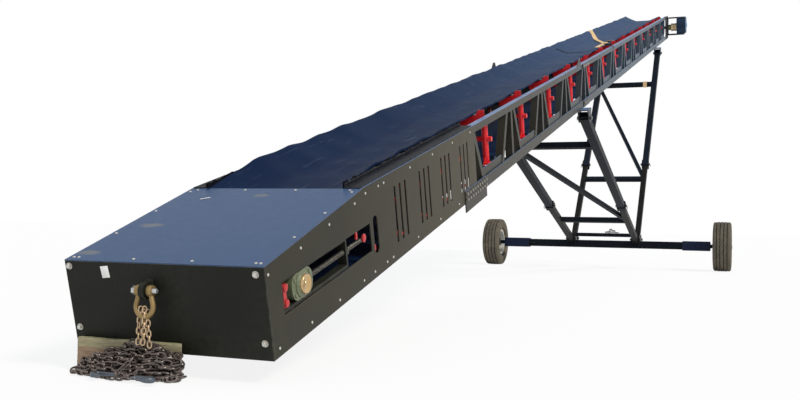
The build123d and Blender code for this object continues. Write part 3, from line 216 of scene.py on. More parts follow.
def coated(name, coat, roughness, dust=(0.20, 0.17, 0.13), dust_amount=0.35, top=None, top_amount=0.0,
           grain=34.0, bump=0.12, metallic=0.0, specular=0.35, edge=(0.20, 0.18, 0.15), edge_amount=0.8):
    """A weathered finish: its coat, its dust, and a top colour on flat tops: painted sky reflection on steel,
    damp stain on timber.
    """
    made = bpy.data.materials.new(name)
    made.use_nodes = True
    tree = made.node_tree
    worn = node(tree, "Group", node_tree=weather_and_painted_sky)
    for label, value in (("Coat", (*coat, 1)), ("Dust", (*dust, 1)), ("Dust Amount", dust_amount),
                         ("Top Colour", (*(top or coat), 1)), ("Top Amount", top_amount), ("Grain", grain),
                         ("Roughness", roughness), ("Edge", (*edge, 1)), ("Edge Amount", edge_amount)):
        worn.inputs[label].default_value = value
    shader = tree.nodes["Principled BSDF"]
    shader.inputs["Metallic"].default_value = metallic
    shader.inputs["Specular IOR Level"].default_value = specular
    relief = node(tree, "Bump", {"Height": worn.outputs["Height"], "Strength": bump, "Distance": RELIEF})
    tree.links.new(worn.outputs["Color"], shader.inputs["Base Color"])
    tree.links.new(worn.outputs["Roughness"], shader.inputs["Roughness"])
    tree.links.new(relief.outputs[0], shader.inputs["Normal"])
    return made


def laid_over(material, mask, colour):
    """Show another colour where a mask is 1, over what the finish shows already."""
    tree = material.node_tree
    base = tree.nodes["Principled BSDF"].inputs["Base Color"]
    tree.links.new(mixed(tree, mask, base.links[0].from_socket, (*colour, 1)), base)


def finish_nodes(material, *names):
    """Put one material in every slot of the CAD nodes."""
    for name in names:
        mesh = nodes[name].data
        mesh.materials.clear()
        mesh.materials.append(material)


# Blue for the flat tops of black steel: a painted reflection of the sky.
SKY_ON_STEEL = (0.11, 0.19, 0.37)
frame_black = coated("frame_black", (0.026, 0.025, 0.018), 0.42, dust=(0.14, 0.115, 0.08), dust_amount=0.4,
                     top=SKY_ON_STEEL, top_amount=0.95, specular=0.16)
finish_nodes(frame_black, "side_truss_left", "side_truss_right", "truss_crossbars", "chord_splices",
             "leg_brackets")


# Tail box: folded plates of one black paint. The end plate is painted darker as painted shade, the sides
# greyer and browner as painted light and a painted reflection of the ground, and the cover blue as a
# painted reflection of the sky. Dried splashes and rub marks lie on the cover.
CONVEYOR_RISE = math.radians(15.14)
HALF_WIDTH, TAIL_DEPTH, COVER_LENGTH, FRAME_DEPTH = 0.490, 0.400, 1.007, 0.488
COVER_SLOPE = (FRAME_DEPTH - TAIL_DEPTH) / COVER_LENGTH
SPLASH_GREY = (0.20, 0.19, 0.17)
COVER_MARKS = ((0.894, 0.010, 0.060), (0.440, 0.351, 0.080), (0.086, 0.427, 0.075))


def on_frame(s, y, n):
    """Points of the conveyor, s up the slope, y to the left and n square to the belt, as world points."""
    s, y, n = np.broadcast_arrays(s, y, n)
    c, d = math.cos(CONVEYOR_RISE), math.sin(CONVEYOR_RISE)
    return np.stack([TAIL_X + s * c - n * d, y, TAIL_Z + s * d + n * c], -1)


ALONG = on_frame(1.0, 0.0, 0.0) - on_frame(0.0, 0.0, 0.0)
SQUARE = on_frame(0.0, 0.0, 1.0) - on_frame(0.0, 0.0, 0.0)


def along_frame(material, label, near, far, start, end, axis):
    """Let one input of a finish change from near to far between two places on an axis of the conveyor."""
    tree = material.node_tree
    origin = float(np.dot((TAIL_X, 0.0, TAIL_Z), axis))
    place = node(tree, "VectorMath", {0: node(tree, "TexCoord").outputs["Object"], 1: tuple(axis)},
                 operation="DOT_PRODUCT")
    share = ramp(tree, place.outputs["Value"], start + origin, end + origin, interpolation_type="SMOOTHSTEP")
    if isinstance(near, tuple):
        changed = mixed(tree, share, (*near, 1), (*far, 1))
    else:
        changed = ramp(tree, share, 0.0, 1.0, near, far)
    tree.links.new(changed, tree.nodes["Group"].inputs[label])


# The end plate's black, darker than the frame's: painted shade.
end_painted_shade = coated("end_painted_shade", (0.013, 0.014, 0.010), 0.50, dust=(0.07, 0.07, 0.055), dust_amount=0.45,
                   specular=0.15)
# The side panels' black, lighter and browner, and lighter still up the slope: painted light and a painted
# reflection of the ground.
panel_painted_light = coated("panel_painted_light", (0.030, 0.030, 0.021), 0.48, dust=(0.12, 0.10, 0.07), dust_amount=0.45,
                     top=SKY_ON_STEEL, grain=9.0, bump=0.05, specular=0.10)
along_frame(panel_painted_light, "Coat", (0.030, 0.029, 0.021), (0.066, 0.058, 0.040), 0.3, 3.2, ALONG)
# Painted sky reflection only on the side panels' folded top flange.
along_frame(panel_painted_light, "Top Amount", 0.0, 0.95, 0.395, 0.400, SQUARE)
# The truss's black is painted bluer towards the head: a painted reflection of the sky, which it faces more
# there.
along_frame(frame_black, "Coat", (0.030, 0.028, 0.020), (0.045, 0.072, 0.105), 4.0, 12.0, ALONG)
# The cover's blue: a painted reflection of the sky on the black paint.
cover_painted_sky = coated("cover_painted_sky", (0.040, 0.083, 0.180), 0.40, dust=(0.11, 0.14, 0.20), dust_amount=0.35,
                    grain=22.0, bump=0.05, specular=0.08)
finish_nodes(end_painted_shade, "tail_end_plate", "tail_floor", "take_up_frames")
finish_nodes(panel_painted_light, "tail_side_panel_left", "tail_side_panel_right")
finish_nodes(cover_painted_sky, "tail_cover")

marked = cover_painted_sky.node_tree
place_on_cover = node(marked, "TexCoord").outputs["Object"]
ragged = node(marked, "TexNoise", {"Vector": place_on_cover, "Scale": 26.0, "Detail": 8.0,
                                   "Roughness": 0.7}).outputs[0]
for mark_s, mark_y, mark_size in COVER_MARKS:
    centre = on_frame(mark_s, mark_y, TAIL_DEPTH + COVER_SLOPE * mark_s)
    away = node(marked, "VectorMath", {0: place_on_cover, 1: tuple(centre)}, operation="SUBTRACT")
    wide = node(marked, "VectorMath", {0: away.outputs[0], 1: (1.6, 0.75, 1.0)}, operation="MULTIPLY")
    far = node(marked, "VectorMath", {0: wide.outputs[0]}, operation="LENGTH")
    near = ramp(marked, far.outputs["Value"], mark_size, mark_size * 0.3)
    broken = combined(marked, "MULTIPLY", near, ragged)
    laid_over(cover_painted_sky, ramp(marked, broken, 0.22, 0.5, 0.0, 0.6), SPLASH_GREY)


# Fasteners of the tail: plated hexagon bolts with washers hold the end plate,
# and small button heads hold the cover and the side panels. The two stickers
# are blank.
SIDES = (-1, 1)  # right, left
BOLT_ACROSS, BOLT_HEAD, WASHER_RADIUS, WASHER_WALL = 0.0195, 0.010, 0.0150, 0.0025
BUTTON_RADIUS, BUTTON_HEIGHT = 0.0072, 0.0040
END_BOLTS = ((0.468, 0.372), (0.462, 0.094), (-0.450, 0.366), (-0.457, 0.075))
COVER_BOLT_S = (0.030, 0.326, 0.640, 0.950)
COVER_BOLT_Y = (-0.440, -0.140, 0.150, 0.436)
UPPER_SIDE_BOLTS = (0.026, 0.320, 0.613, 0.909)
FLAT_SIDE_BOLTS = (1.048, 1.217, 1.293, 1.695, 2.089, 2.488, 2.890)
LOWER_SIDE_BOLTS = (0.054, 0.353, 0.649, 0.942, 1.087, 1.258, 1.346, 1.747, 2.161, 2.552, 2.950)
UPPER_ROW_N, FLAT_ROW_N, LOWER_ROW_N = 0.356, 0.455, 0.036
COVER_LAST_ROW, COVER_EDGE_INSET = 0.030, 0.028
STICKER_WALL, STICKER_LIFT = 0.0008, 0.0003
END_STICKER, END_STICKER_Y, END_STICKER_N, END_STICKER_SKEW = (0.040, 0.052), 0.284, 0.351, 0.10
COVER_STICKER, COVER_STICKER_S, COVER_STICKER_Y = (0.084, 0.013), 0.853, 0.294


def round_angles(count, start=0.0):
    """Even angles of a full turn."""
    return np.arange(count) * 2 * np.pi / count + start


def turned(profile, sides=24, flats=0, loop=False):
    """A (radius, height) profile turned about Z; with flats, each radius is that of a polygon's flat sides.
    A loop's profile closes on itself, and any other is closed by flat ends."""
    profile = np.asarray(profile, float)
    angle = round_angles(sides)
    stretch = np.ones(sides)
    if flats:
        within = np.mod(angle, 2 * np.pi / flats) - np.pi / flats
        stretch = 1 / np.cos(within)
    across = profile[:, :1] * stretch
    points = np.stack([across * np.cos(angle), across * np.sin(angle),
                       np.repeat(profile[:, 1:], sides, 1)], -1).reshape(-1, 3)
    faces = strip_faces(len(profile), sides, rows_closed=loop)
    if loop:
        return points, faces
    return points, np.concatenate([faces, cap(np.arange(sides)), cap(np.arange(sides) + len(points) - sides)])


def strip_faces(rows, columns, rows_closed=False):
    """Four-sided faces of a grid of points counted row by row; each row is a closed ring."""
    row = np.arange(rows if rows_closed else rows - 1)[:, None]
    column = np.arange(columns)[None, :]
    next_row, next_column = (row + 1) % rows, (column + 1) % columns
    corners = (row * columns + column, row * columns + next_column,
               next_row * columns + next_column, next_row * columns + column)
    return np.stack([np.broadcast_to(c, (row.size, column.size)) for c in corners], -1).reshape(-1, 4)


def cap(ring):
    """Four-sided faces that close an even ring of points."""
    k = np.arange(1, len(ring) - 2, 2)
    return np.stack([np.full(len(k), ring[0]), ring[k], ring[k + 1], ring[k + 2]], -1)


def facing_along(axis):
    """A turn, as a 3 by 3 matrix, that takes Z to the axis."""
    z = np.asarray(axis, float) / np.linalg.norm(axis)
    x = np.cross((0.0, 1.0, 0.0) if abs(z[1]) < 0.9 else (1.0, 0.0, 0.0), z)
    x /= np.linalg.norm(x)
    return np.stack([x, np.cross(z, x), z], -1)


def outward(side):
    """The turn that takes Z out of the right or the left side of the machine."""
    return facing_along((0.0, side, 0.0))


def turned_flat(cosine, sine):
    """A turn about Z, as a 3 by 3 matrix."""
    return np.array([[cosine, -sine, 0], [sine, cosine, 0], [0, 0, 1]])


def repeated(template, places, turns):
    """Copies of a template of points and faces: its points are turned by a matrix and moved to a place."""
    points, faces = template
    places, turns = np.asarray(places, float).reshape(-1, 3), np.asarray(turns, float)
    if turns.ndim == 2:
        turns = np.repeat(turns[None], len(places), 0)
    spread = np.einsum("kij,pj->kpi", turns, points) + places[:, None]
    steps = np.arange(len(places))[:, None, None] * len(points)
    return spread.reshape(-1, 3), (faces[None] + steps).reshape(-1, 4)


def on_both_sides(template, s, y, n):
    """A template set at the same place of the right and the left side, its Z axis outwards."""
    return repeated(template, [on_frame(s, side * y, n) for side in SIDES], [outward(side) for side in SIDES])


def joined(*parts):
    """Several (points, faces) pairs as one."""
    starts = np.cumsum([0] + [len(points) for points, _ in parts[:-1]])
    return (np.concatenate([points for points, _ in parts]),
            np.concatenate([faces + start for (_, faces), start in zip(parts, starts)]))


def piece(name, shape, material, body="frame", hides=(), crease=40.0):
    """A mesh of (points, faces) in metres that rides on a CAD body, smooth but for edges past the crease
    angle. It stands in for the nodes that it hides."""
    points, faces = shape
    mesh = bpy.data.meshes.new(name)
    mesh.from_pydata(points.tolist(), [], faces.tolist())
    mesh.materials.append(material)
    work = bmesh.new()
    work.from_mesh(mesh)
    bmesh.ops.recalc_face_normals(work, faces=work.faces)
    work.to_mesh(mesh)
    work.free()
    mesh.polygons.foreach_set("use_smooth", np.ones(len(mesh.polygons), bool))
    mesh.set_sharp_from_angle(angle=math.radians(crease))
    made = bpy.data.objects.new(name, mesh)
    bpy.context.scene.collection.objects.link(made)
    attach(made, body)
    if hides:
        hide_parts(*hides)
    return made


def moved(shape, place=(0.0, 0.0, 0.0), turn=np.eye(3)):
    """A shape turned by a matrix and then moved."""
    points, faces = shape
    return points @ np.asarray(turn).T + np.asarray(place), faces


def bevelled_box(size, bevel=0.0015):
    """A block whose plan is an eight-sided ring with cut corners, drawn in by the bevel at its two ends."""
    x, y, z = np.asarray(size, float) / 2
    rows = []
    for height, inset in ((-z, bevel), (-z + bevel, 0.0), (z - bevel, 0.0), (z, bevel)):
        a, b = x - inset, y - inset
        rows.append([(-a + bevel, -b, height), (a - bevel, -b, height), (a, -b + bevel, height),
                     (a, b - bevel, height), (a - bevel, b, height), (-a + bevel, b, height),
                     (-a, b - bevel, height), (-a, -b + bevel, height)])
    ring = np.arange(8)
    return np.array(rows).reshape(-1, 3), np.concatenate([strip_faces(4, 8), cap(ring), cap(ring + 24)])


zinc = coated("zinc", (0.62, 0.61, 0.56), 0.34, dust=(0.30, 0.25, 0.17), dust_amount=0.8, metallic=0.75,
              grain=160.0, bump=0.25, specular=0.5)
washer = turned([(WASHER_RADIUS, 0.0), (WASHER_RADIUS, WASHER_WALL)], 24)
head = turned([(BOLT_ACROSS / 2, 0.0), (BOLT_ACROSS / 2, WASHER_WALL + BOLT_HEAD * 0.8),
               (BOLT_ACROSS * 0.42, WASHER_WALL + BOLT_HEAD), (0.002, WASHER_WALL + BOLT_HEAD)], 24, 6)
bolt = joined(washer, head)
button = turned([(BUTTON_RADIUS, 0.0), (BUTTON_RADIUS * 0.94, BUTTON_HEIGHT * 0.5),
                 (BUTTON_RADIUS * 0.6, BUTTON_HEIGHT * 0.92), (0.0006, BUTTON_HEIGHT)], 10)
end_bolts = [on_frame(0.0, y, n) for y, n in END_BOLTS]
piece("end_plate_bolts", repeated(bolt, end_bolts, facing_along(-ALONG)), zinc)

cover_up = SQUARE - ALONG * COVER_SLOPE
cover_places = [(s, y) for s in (COVER_BOLT_S[0], COVER_BOLT_S[-1] + COVER_LAST_ROW) for y in COVER_BOLT_Y]
cover_places += [(s, side * (HALF_WIDTH - COVER_EDGE_INSET)) for s in COVER_BOLT_S for side in SIDES]
cover_heads = [on_frame(s, y, TAIL_DEPTH + COVER_SLOPE * s) for s, y in cover_places]
side_heads, side_turns = [], []
for side in SIDES:
    rows = [(s, UPPER_ROW_N + COVER_SLOPE * s) for s in UPPER_SIDE_BOLTS]
    rows += [(s, FLAT_ROW_N) for s in FLAT_SIDE_BOLTS] + [(s, LOWER_ROW_N) for s in LOWER_SIDE_BOLTS]
    side_heads += [on_frame(s, side * HALF_WIDTH, n) for s, n in rows]
    side_turns += [outward(side)] * len(rows)
buttons = joined(repeated(button, cover_heads, facing_along(cover_up)),
                 repeated(button, side_heads, side_turns))
piece("panel_buttons", buttons, zinc)

FRAME_TURN = np.stack([ALONG, (0.0, 1.0, 0.0), SQUARE], -1)
sticker_white = coated("sticker_white", (0.90, 0.89, 0.85), 0.45, dust=(0.55, 0.52, 0.45), dust_amount=0.5,
                       bump=0.03, edge_amount=0.0)
end_turn = np.stack([(0.0, -1.0, 0.0), SQUARE, -ALONG], -1)
end_turn = end_turn @ turned_flat(math.cos(END_STICKER_SKEW), math.sin(END_STICKER_SKEW))
cover_n = TAIL_DEPTH + COVER_SLOPE * COVER_STICKER_S + STICKER_LIFT
stickers = joined(moved(bevelled_box((*END_STICKER, STICKER_WALL), STICKER_LIFT),
                        on_frame(-STICKER_LIFT, END_STICKER_Y, END_STICKER_N), end_turn),
                  moved(bevelled_box((*COVER_STICKER, STICKER_WALL), STICKER_LIFT),
                        on_frame(COVER_STICKER_S, COVER_STICKER_Y, cover_n),
                        FRAME_TURN @ turned_flat(0.78, -0.62)))
piece("blank_stickers", stickers, sticker_white)


# Take-up gear seen in each window: a cast iron bearing with a boss and a grease
# nipple on a slide, drawn back by a steel rod threaded through a nut. Red stops
# are bolted before and behind it.
PULLEY_S, PULLEY_N, SCREW_Y, SCREW_RADIUS, THREAD_PITCH = 0.316, 0.227, 0.462, 0.013, 0.004
SCREW_START, SCREW_LENGTH, NUT_S, THREAD_DEPTH = 0.411, 0.640, 0.7893, 0.0024
BOSS_Y, SHAFT_Y, NIPPLE_Y, NIPPLE_RISE = 0.484, 0.487, 0.468, 0.059
CAP_BOLT_Y, CAP_BOLT_S, CAP_BOLT_N = 0.4835, 0.070, 0.034
BOSS = [(0.0445, -0.002), (0.061, -0.002), (0.061, 0.0035), (0.058, 0.0062), (0.054, 0.0066), (0.051, 0.0105),
        (0.0445, 0.0115)]
SHAFT_END = [(0.0008, 0.0168), (0.0110, 0.0168), (0.0125, 0.0152), (0.0190, 0.0152), (0.0215, 0.0166),
             (0.0330, 0.0162), (0.0360, 0.0185), (0.0420, 0.0185), (0.0441, 0.0160), (0.0441, 0.0)]
NIPPLE = [(0.0055, -0.002), (0.0055, 0.004), (0.0035, 0.005), (0.0035, 0.009), (0.0042, 0.010),
          (0.0024, 0.013), (0.0006, 0.0135)]
NEAR_CAP = [(0.001, 0.0), (0.016, 0.0), (0.0175, 0.0015), (0.0175, 0.0045), (0.015, 0.006), (0.001, 0.0062)]
FAR_CAP = [(0.001, -0.004), (0.021, -0.004), (0.022, 0.003), (0.018, 0.0045), (0.001, 0.005)]
# Each stop: its bar's size and middle, then its caps' profile, distance out and places (s, n).
STOPS = (((0.026, 0.008, 0.105), (0.158, 0.4785, 0.224), NEAR_CAP, 0.4825, ((0.163, 0.258), (0.163, 0.190))),
         ((0.018, 0.009, 0.044), (0.915, 0.4790, 0.276), FAR_CAP, 0.4785, ((1.008, 0.236), (1.124, 0.150))))


def threaded_rod():
    """A rod along Z whose radius goes in and out with height plus angle, one pitch a turn: a thread."""
    sides, rows = 14, int(SCREW_LENGTH / THREAD_PITCH * 4)
    angle = round_angles(sides)
    height = np.linspace(0.0, SCREW_LENGTH, rows)
    phase = np.mod(height[:, None] / THREAD_PITCH - angle / (2 * np.pi), 1.0)
    radius = SCREW_RADIUS - THREAD_DEPTH * np.abs(2 * phase - 1) ** 1.3
    points = np.stack([radius * np.cos(angle), radius * np.sin(angle),
                       np.broadcast_to(height[:, None], radius.shape)], -1).reshape(-1, 3)
    ring = np.arange(sides)
    return points, np.concatenate([strip_faces(rows, sides), cap(ring), cap(ring + (rows - 1) * sides)])


nut = turned([(0.020, 0.0), (0.022, 0.002), (0.022, 0.019), (0.020, 0.021), (0.0135, 0.021)], 24, 6)
screw_steel = coated("screw_steel", (0.026, 0.025, 0.022), 0.36, dust=(0.07, 0.055, 0.04), dust_amount=0.7,
                     metallic=0.6, grain=80.0, edge=(0.30, 0.28, 0.24))
rods = [moved(threaded_rod(), on_frame(SCREW_START, side * SCREW_Y, PULLEY_N), facing_along(ALONG))
        for side in SIDES]
rods += [moved(nut, on_frame(NUT_S, side * SCREW_Y, PULLEY_N), facing_along(ALONG)) for side in SIDES]
piece("take_up_rods", joined(*rods), screw_steel, hides=("take_up_screws",))
cast_green = coated("cast_green", (0.105, 0.125, 0.068), 0.38, dust=(0.26, 0.26, 0.17), dust_amount=0.8,
                    bump=0.35, grain=75.0, edge=(0.55, 0.60, 0.42), edge_amount=1.0)
boss = turned(BOSS, 40, loop=True)
piece("bearing_bosses", on_both_sides(boss, PULLEY_S, BOSS_Y, PULLEY_N), cast_green)
brass = coated("brass", (0.58, 0.39, 0.18), 0.20, dust=(0.09, 0.055, 0.03), dust_amount=1.0, metallic=0.9,
               grain=70.0)
shaft_ends = on_both_sides(turned(SHAFT_END, 28), PULLEY_S, SHAFT_Y, PULLEY_N)
nipples = repeated(turned(NIPPLE, 12), [on_frame(PULLEY_S, side * NIPPLE_Y, PULLEY_N + NIPPLE_RISE)
                                        for side in SIDES], facing_along(SQUARE))
piece("shaft_ends", joined(shaft_ends, nipples), brass)
bearing_bolt = turned([(0.007, 0.0), (0.007, 0.005), (0.0058, 0.0063), (0.001, 0.0063)], 24, 6)
cap_bolts = [on_both_sides(bearing_bolt, PULLEY_S + ds, CAP_BOLT_Y, PULLEY_N + dn)
             for ds in (-CAP_BOLT_S, CAP_BOLT_S) for dn in (-CAP_BOLT_N, CAP_BOLT_N)]
piece("bearing_bolts", joined(*cap_bolts), cast_green)
stop_red = coated("stop_red", (0.46, 0.010, 0.016), 0.34, dust=(0.30, 0.10, 0.08), dust_amount=0.3)
stops = []
for bar_size, (bar_s, bar_y, bar_n), profile, cap_y, cap_places in STOPS:
    bar = bevelled_box(bar_size)
    stops += [moved(bar, on_frame(bar_s, side * bar_y, bar_n), FRAME_TURN) for side in SIDES]
    stops += [on_both_sides(turned(profile, 20), cap_s, cap_y, cap_n) for cap_s, cap_n in cap_places]
piece("take_up_stops", joined(*stops), stop_red)


# Truss fasteners: plated hexagon bolts with washers, through the splice plates
# and the plates that join panel and truss.
SPLICE_S, SPLICE_STEPS = 7.555, (-0.155, -0.110, -0.065, -0.020, 0.025, 0.070, 0.115, 0.160)
SPLICE_ROWS, JOINT_ROWS, PLATE_WALL = (0.463, 0.043), (0.028, 0.066), 0.008
JOINT_S = np.arange(2.715, 3.180, 0.058)

truss_bolt = joined(turned([(0.0145, 0.0), (0.0145, 0.002)], 20),
                    turned([(0.0105, 0.0), (0.0105, 0.0095), (0.0085, 0.0115), (0.001, 0.0115)], 24, 6))
bolt_places = [(SPLICE_S + step, n) for n in SPLICE_ROWS for step in SPLICE_STEPS]
bolt_places += [(s, n) for s in JOINT_S for n in JOINT_ROWS]
bolt_heads = [on_frame(s, side * (HALF_WIDTH + PLATE_WALL), n) for side in SIDES for s, n in bolt_places]
bolt_turns = [outward(side) for side in SIDES for _ in bolt_places]
dark_zinc = coated("dark_zinc", (0.26, 0.25, 0.23), 0.45, dust=(0.16, 0.12, 0.08), dust_amount=0.9,
                   metallic=0.6, grain=120.0)
piece("truss_bolts", repeated(truss_bolt, bolt_heads, bolt_turns), dark_zinc)


# Belt: rubber on fabric, one endless loop. It is flat on both pulleys,
# troughed at 20 degrees between them, and sags a little from idler to idler.
# It has run off to the left, where its edge has lifted.
BELT_HALF, BELT_WALL, CENTRE_HALF, TROUGH = 0.381, 0.012, 0.143, math.radians(20.0)
HEAD_S, HEAD_N, HEAD_RADIUS, TAIL_RADIUS = 18.600, 0.235, 0.150, 0.158
TROUGH_FIRST, TROUGH_LAST, TROUGH_N, RETURN_N = 1.500, 18.180, 0.425, 0.112
IDLER_S = np.array([1.52, 1.92, 2.32, 2.72] + [3.5225 + 1.165 * k for k in range(13)])
CARRY_SAG, RETURN_SAG, BEND_HALF = 0.007, 0.016, 0.045
LEFT_RISE, RUN_OFF, EDGE_WAVE, RIPPLE = 0.034, 0.013, 0.0030, 0.0008


def leaving_angle(s, n, radius, roll_s, way):
    """Angle at which the flat return leaves a pulley for the nearest return roll."""
    ds, dn = roll_s - s, RETURN_N - BELT_WALL / 2 - n
    return math.atan2(dn, ds) + way * math.acos((radius + BELT_WALL / 2) / math.hypot(ds, dn))


def sagging(s, supports, depth):
    """Sag at s between neighbouring supports: a parabola as deep as given at mid span."""
    index = np.clip(np.searchsorted(supports, s, side="right") - 1, 0, len(supports) - 2)
    share = (s - supports[index]) / (supports[index + 1] - supports[index])
    return depth * np.clip(4 * share * (1 - share), 0, None)


def belt_loop():
    """A closed section carried round the closed line of the belt. Along its width v the surface leans by
    the trough's angle past the centre roll, so (y, height) is the running sum of its cosine and sine;
    thickness is laid off square to it, away from the pulleys."""
    rolls = IDLER_S[4::3]
    tail_angle = leaving_angle(PULLEY_S, PULLEY_N, TAIL_RADIUS, rolls[0], -1) + 2 * np.pi
    head_angle = leaving_angle(HEAD_S, HEAD_N, HEAD_RADIUS, rolls[-1], 1) - 2 * np.pi
    carry = np.linspace(PULLEY_S, HEAD_S, 300)[:-1]
    level = np.interp(carry, [PULLEY_S, TROUGH_FIRST, TROUGH_LAST, HEAD_S],
                      [PULLEY_N + TAIL_RADIUS, TROUGH_N, TROUGH_N, HEAD_N + HEAD_RADIUS])
    level = level - sagging(carry, IDLER_S, CARRY_SAG) * (carry > IDLER_S[0])
    lean = TROUGH * np.interp(carry, [PULLEY_S, TROUGH_FIRST, TROUGH_LAST, HEAD_S], [0, 1, 1, 0])
    round_head = np.linspace(np.pi / 2, head_angle, 24)
    back_s = np.linspace(HEAD_S + HEAD_RADIUS * np.cos(head_angle),
                         PULLEY_S + TAIL_RADIUS * np.cos(tail_angle), 150)
    ends = ([back_s[-1]] + list(rolls) + [back_s[0]],
            [PULLEY_N + TAIL_RADIUS * np.sin(tail_angle)] + [RETURN_N] * len(rolls)
            + [HEAD_N + HEAD_RADIUS * np.sin(head_angle)])
    between = (back_s > rolls[0]) * (back_s < rolls[-1])
    back_n = np.interp(back_s, *ends) - sagging(back_s, rolls, RETURN_SAG) * between
    round_tail = np.linspace(tail_angle, np.pi / 2, 26)[1:-1]
    s = np.concatenate([carry, HEAD_S + HEAD_RADIUS * np.cos(round_head), back_s[1:],
                        PULLEY_S + TAIL_RADIUS * np.cos(round_tail)])
    n = np.concatenate([level, HEAD_N + HEAD_RADIUS * np.sin(round_head), back_n[1:],
                        PULLEY_N + TAIL_RADIUS * np.sin(round_tail)])
    out_s = np.concatenate([0 * carry, np.cos(round_head), 0 * back_s[1:], np.cos(round_tail)])
    out_n = np.concatenate([0 * carry + 1, np.sin(round_head), 0 * back_s[1:] - 1, np.sin(round_tail)])
    lean = np.concatenate([lean, np.zeros(len(s) - len(carry))])[:, None]
    v = np.linspace(-BELT_HALF, BELT_HALF, 45)[None]
    bend = np.clip((np.abs(v) - CENTRE_HALF + BEND_HALF) / (2 * BEND_HALF), 0, 1)
    angle = lean * bend * bend * (3 - 2 * bend) * np.sign(v)
    step = v[0, 1] - v[0, 0]
    middle = v.shape[1] // 2
    y, h = (np.cumsum(f(angle), axis=1) * step for f in (np.cos, np.sin))
    y, h = y - y[:, middle:middle + 1], h - h[:, middle:middle + 1]
    edge = (np.abs(v) / BELT_HALF) ** 4 * (lean / TROUGH)
    h = h + EDGE_WAVE * edge * (np.sin(7.3 * s[:, None] + 1.5 * np.sign(v)) + 0.7 * np.sin(17.1 * s[:, None]))
    h = h + RIPPLE * (lean / TROUGH) * np.sin(29 * s[:, None] + 9 * v) * np.sin(11 * v + 3 * s[:, None])
    h = h + LEFT_RISE * np.clip(v / BELT_HALF, 0, 1) ** 3 * (lean / TROUGH)
    y = y + RUN_OFF * (lean / TROUGH)
    inner_y, inner_h = y, h
    outer_y, outer_h = y - BELT_WALL * np.sin(angle), h + BELT_WALL * np.cos(angle)
    ys = np.concatenate([inner_y, outer_y[:, ::-1]], 1)
    hs = np.concatenate([inner_h, outer_h[:, ::-1]], 1)
    points = on_frame(s[:, None] + out_s[:, None] * hs, ys, n[:, None] + out_n[:, None] * hs)
    return points.reshape(-1, 3), strip_faces(len(s), ys.shape[1], rows_closed=True)


# The belt's navy, lighter towards the head, is a painted reflection of the sky on black rubber.
belt_rubber = coated("belt_rubber", (0.006, 0.017, 0.054), 0.55, dust=(0.030, 0.055, 0.11), dust_amount=0.3,
                     grain=12.0, bump=0.12, specular=0.02, edge_amount=0.0)
along_frame(belt_rubber, "Coat", (0.004, 0.013, 0.044), (0.030, 0.062, 0.135), 1.0, 13.0, ALONG)
# Pale blue-grey streaks along the run: painted sheen.
belt_nodes = belt_rubber.node_tree
drawn_out = node(belt_nodes, "Mapping", {"Vector": node(belt_nodes, "TexCoord").outputs["Object"],
                                   "Scale": (1.3, 17.0, 1.3)})
painted_sheen_streaks = node(belt_nodes, "TexNoise", {"Vector": drawn_out.outputs[0], "Scale": 1.6, "Detail": 7.0,
                                  "Roughness": 0.62})
laid_over(belt_rubber, ramp(belt_nodes, painted_sheen_streaks.outputs[0], 0.60, 0.78, 0.0, 0.55), (0.115, 0.15, 0.22))
piece("endless_belt", belt_loop(), belt_rubber, hides=("belt",), crease=50)


# Skirt strips: old belting cut by hand, so the upper edge is ragged and waves in and out, clamped to
# angles painted near black as painted shade.
SKIRT_START, SKIRT_LENGTH, SKIRT_Y, SKIRT_WALL = 1.0075, 1.949, 0.394, 0.007
SKIRT_LOW, SKIRT_HIGH, NICK_DEPTH, CUT_WAVE = 0.476, 0.522, 0.026, 0.004


def skirt_strip(side, seed):
    """A strip whose cross section runs up one face and down the other; its top edge is a sum of waves and
    random nicks, and it leans in and out by a few millimetres."""
    draw = np.random.default_rng(seed)
    rows = 190
    s = np.linspace(SKIRT_START, SKIRT_START + SKIRT_LENGTH, rows)
    nicks = np.repeat(draw.uniform(0, 1, rows // 3 + 1), 3)[:rows] ** 2
    top = SKIRT_HIGH + CUT_WAVE - NICK_DEPTH * nicks - CUT_WAVE * (1 + np.sin(13 * s + seed))
    sway = 0.0016 * np.sin(9 * s + seed) + 0.0010 * np.sin(31 * s)
    up = np.array([0.0, 0.35, 0.7, 1.0, 1.0, 0.7, 0.35, 0.0])[None]
    out = np.array([-1, -1, -1, -0.7, 0.7, 1, 1, 1])[None] * SKIRT_WALL / 2
    n = SKIRT_LOW + (top[:, None] - SKIRT_LOW) * up
    y = side * (SKIRT_Y + out + sway[:, None] * up ** 2)
    points = on_frame(s[:, None], y, n).reshape(-1, 3)
    ring = np.arange(8)
    return points, np.concatenate([strip_faces(rows, 8), cap(ring), cap(ring + (rows - 1) * 8)])


skirt_rubber = coated("skirt_rubber", (0.003, 0.004, 0.007), 0.66, dust=(0.025, 0.03, 0.045), dust_amount=0.5,
                      edge_amount=0.0, specular=0.05)
# Near black for the skirt angles, head plates and drive frame: painted shade.
shade_black = coated("shade_black", (0.008, 0.010, 0.016), 0.55, dust=(0.05, 0.05, 0.05), dust_amount=0.4,
                     specular=0.06)
finish_nodes(shade_black, "skirt_angles")
piece("skirt_strips", joined(skirt_strip(-1, 3), skirt_strip(1, 8)), skirt_rubber, hides=("belt_skirts",))


# Idlers: stands of red-painted tube and plate with steel rolls between them.
# The belt runs a little to the left; the left plates' tips above its edge are coloured dark navy.
TIP_N, TIP_FADE, LEFT_TIPS_Y, LEFT_FADE = 0.494, 0.006, 0.330, 0.010
WELD_N, WELD_INNER_Y, WELD_OUTER_Y = 0.303, 0.3875, 0.4365

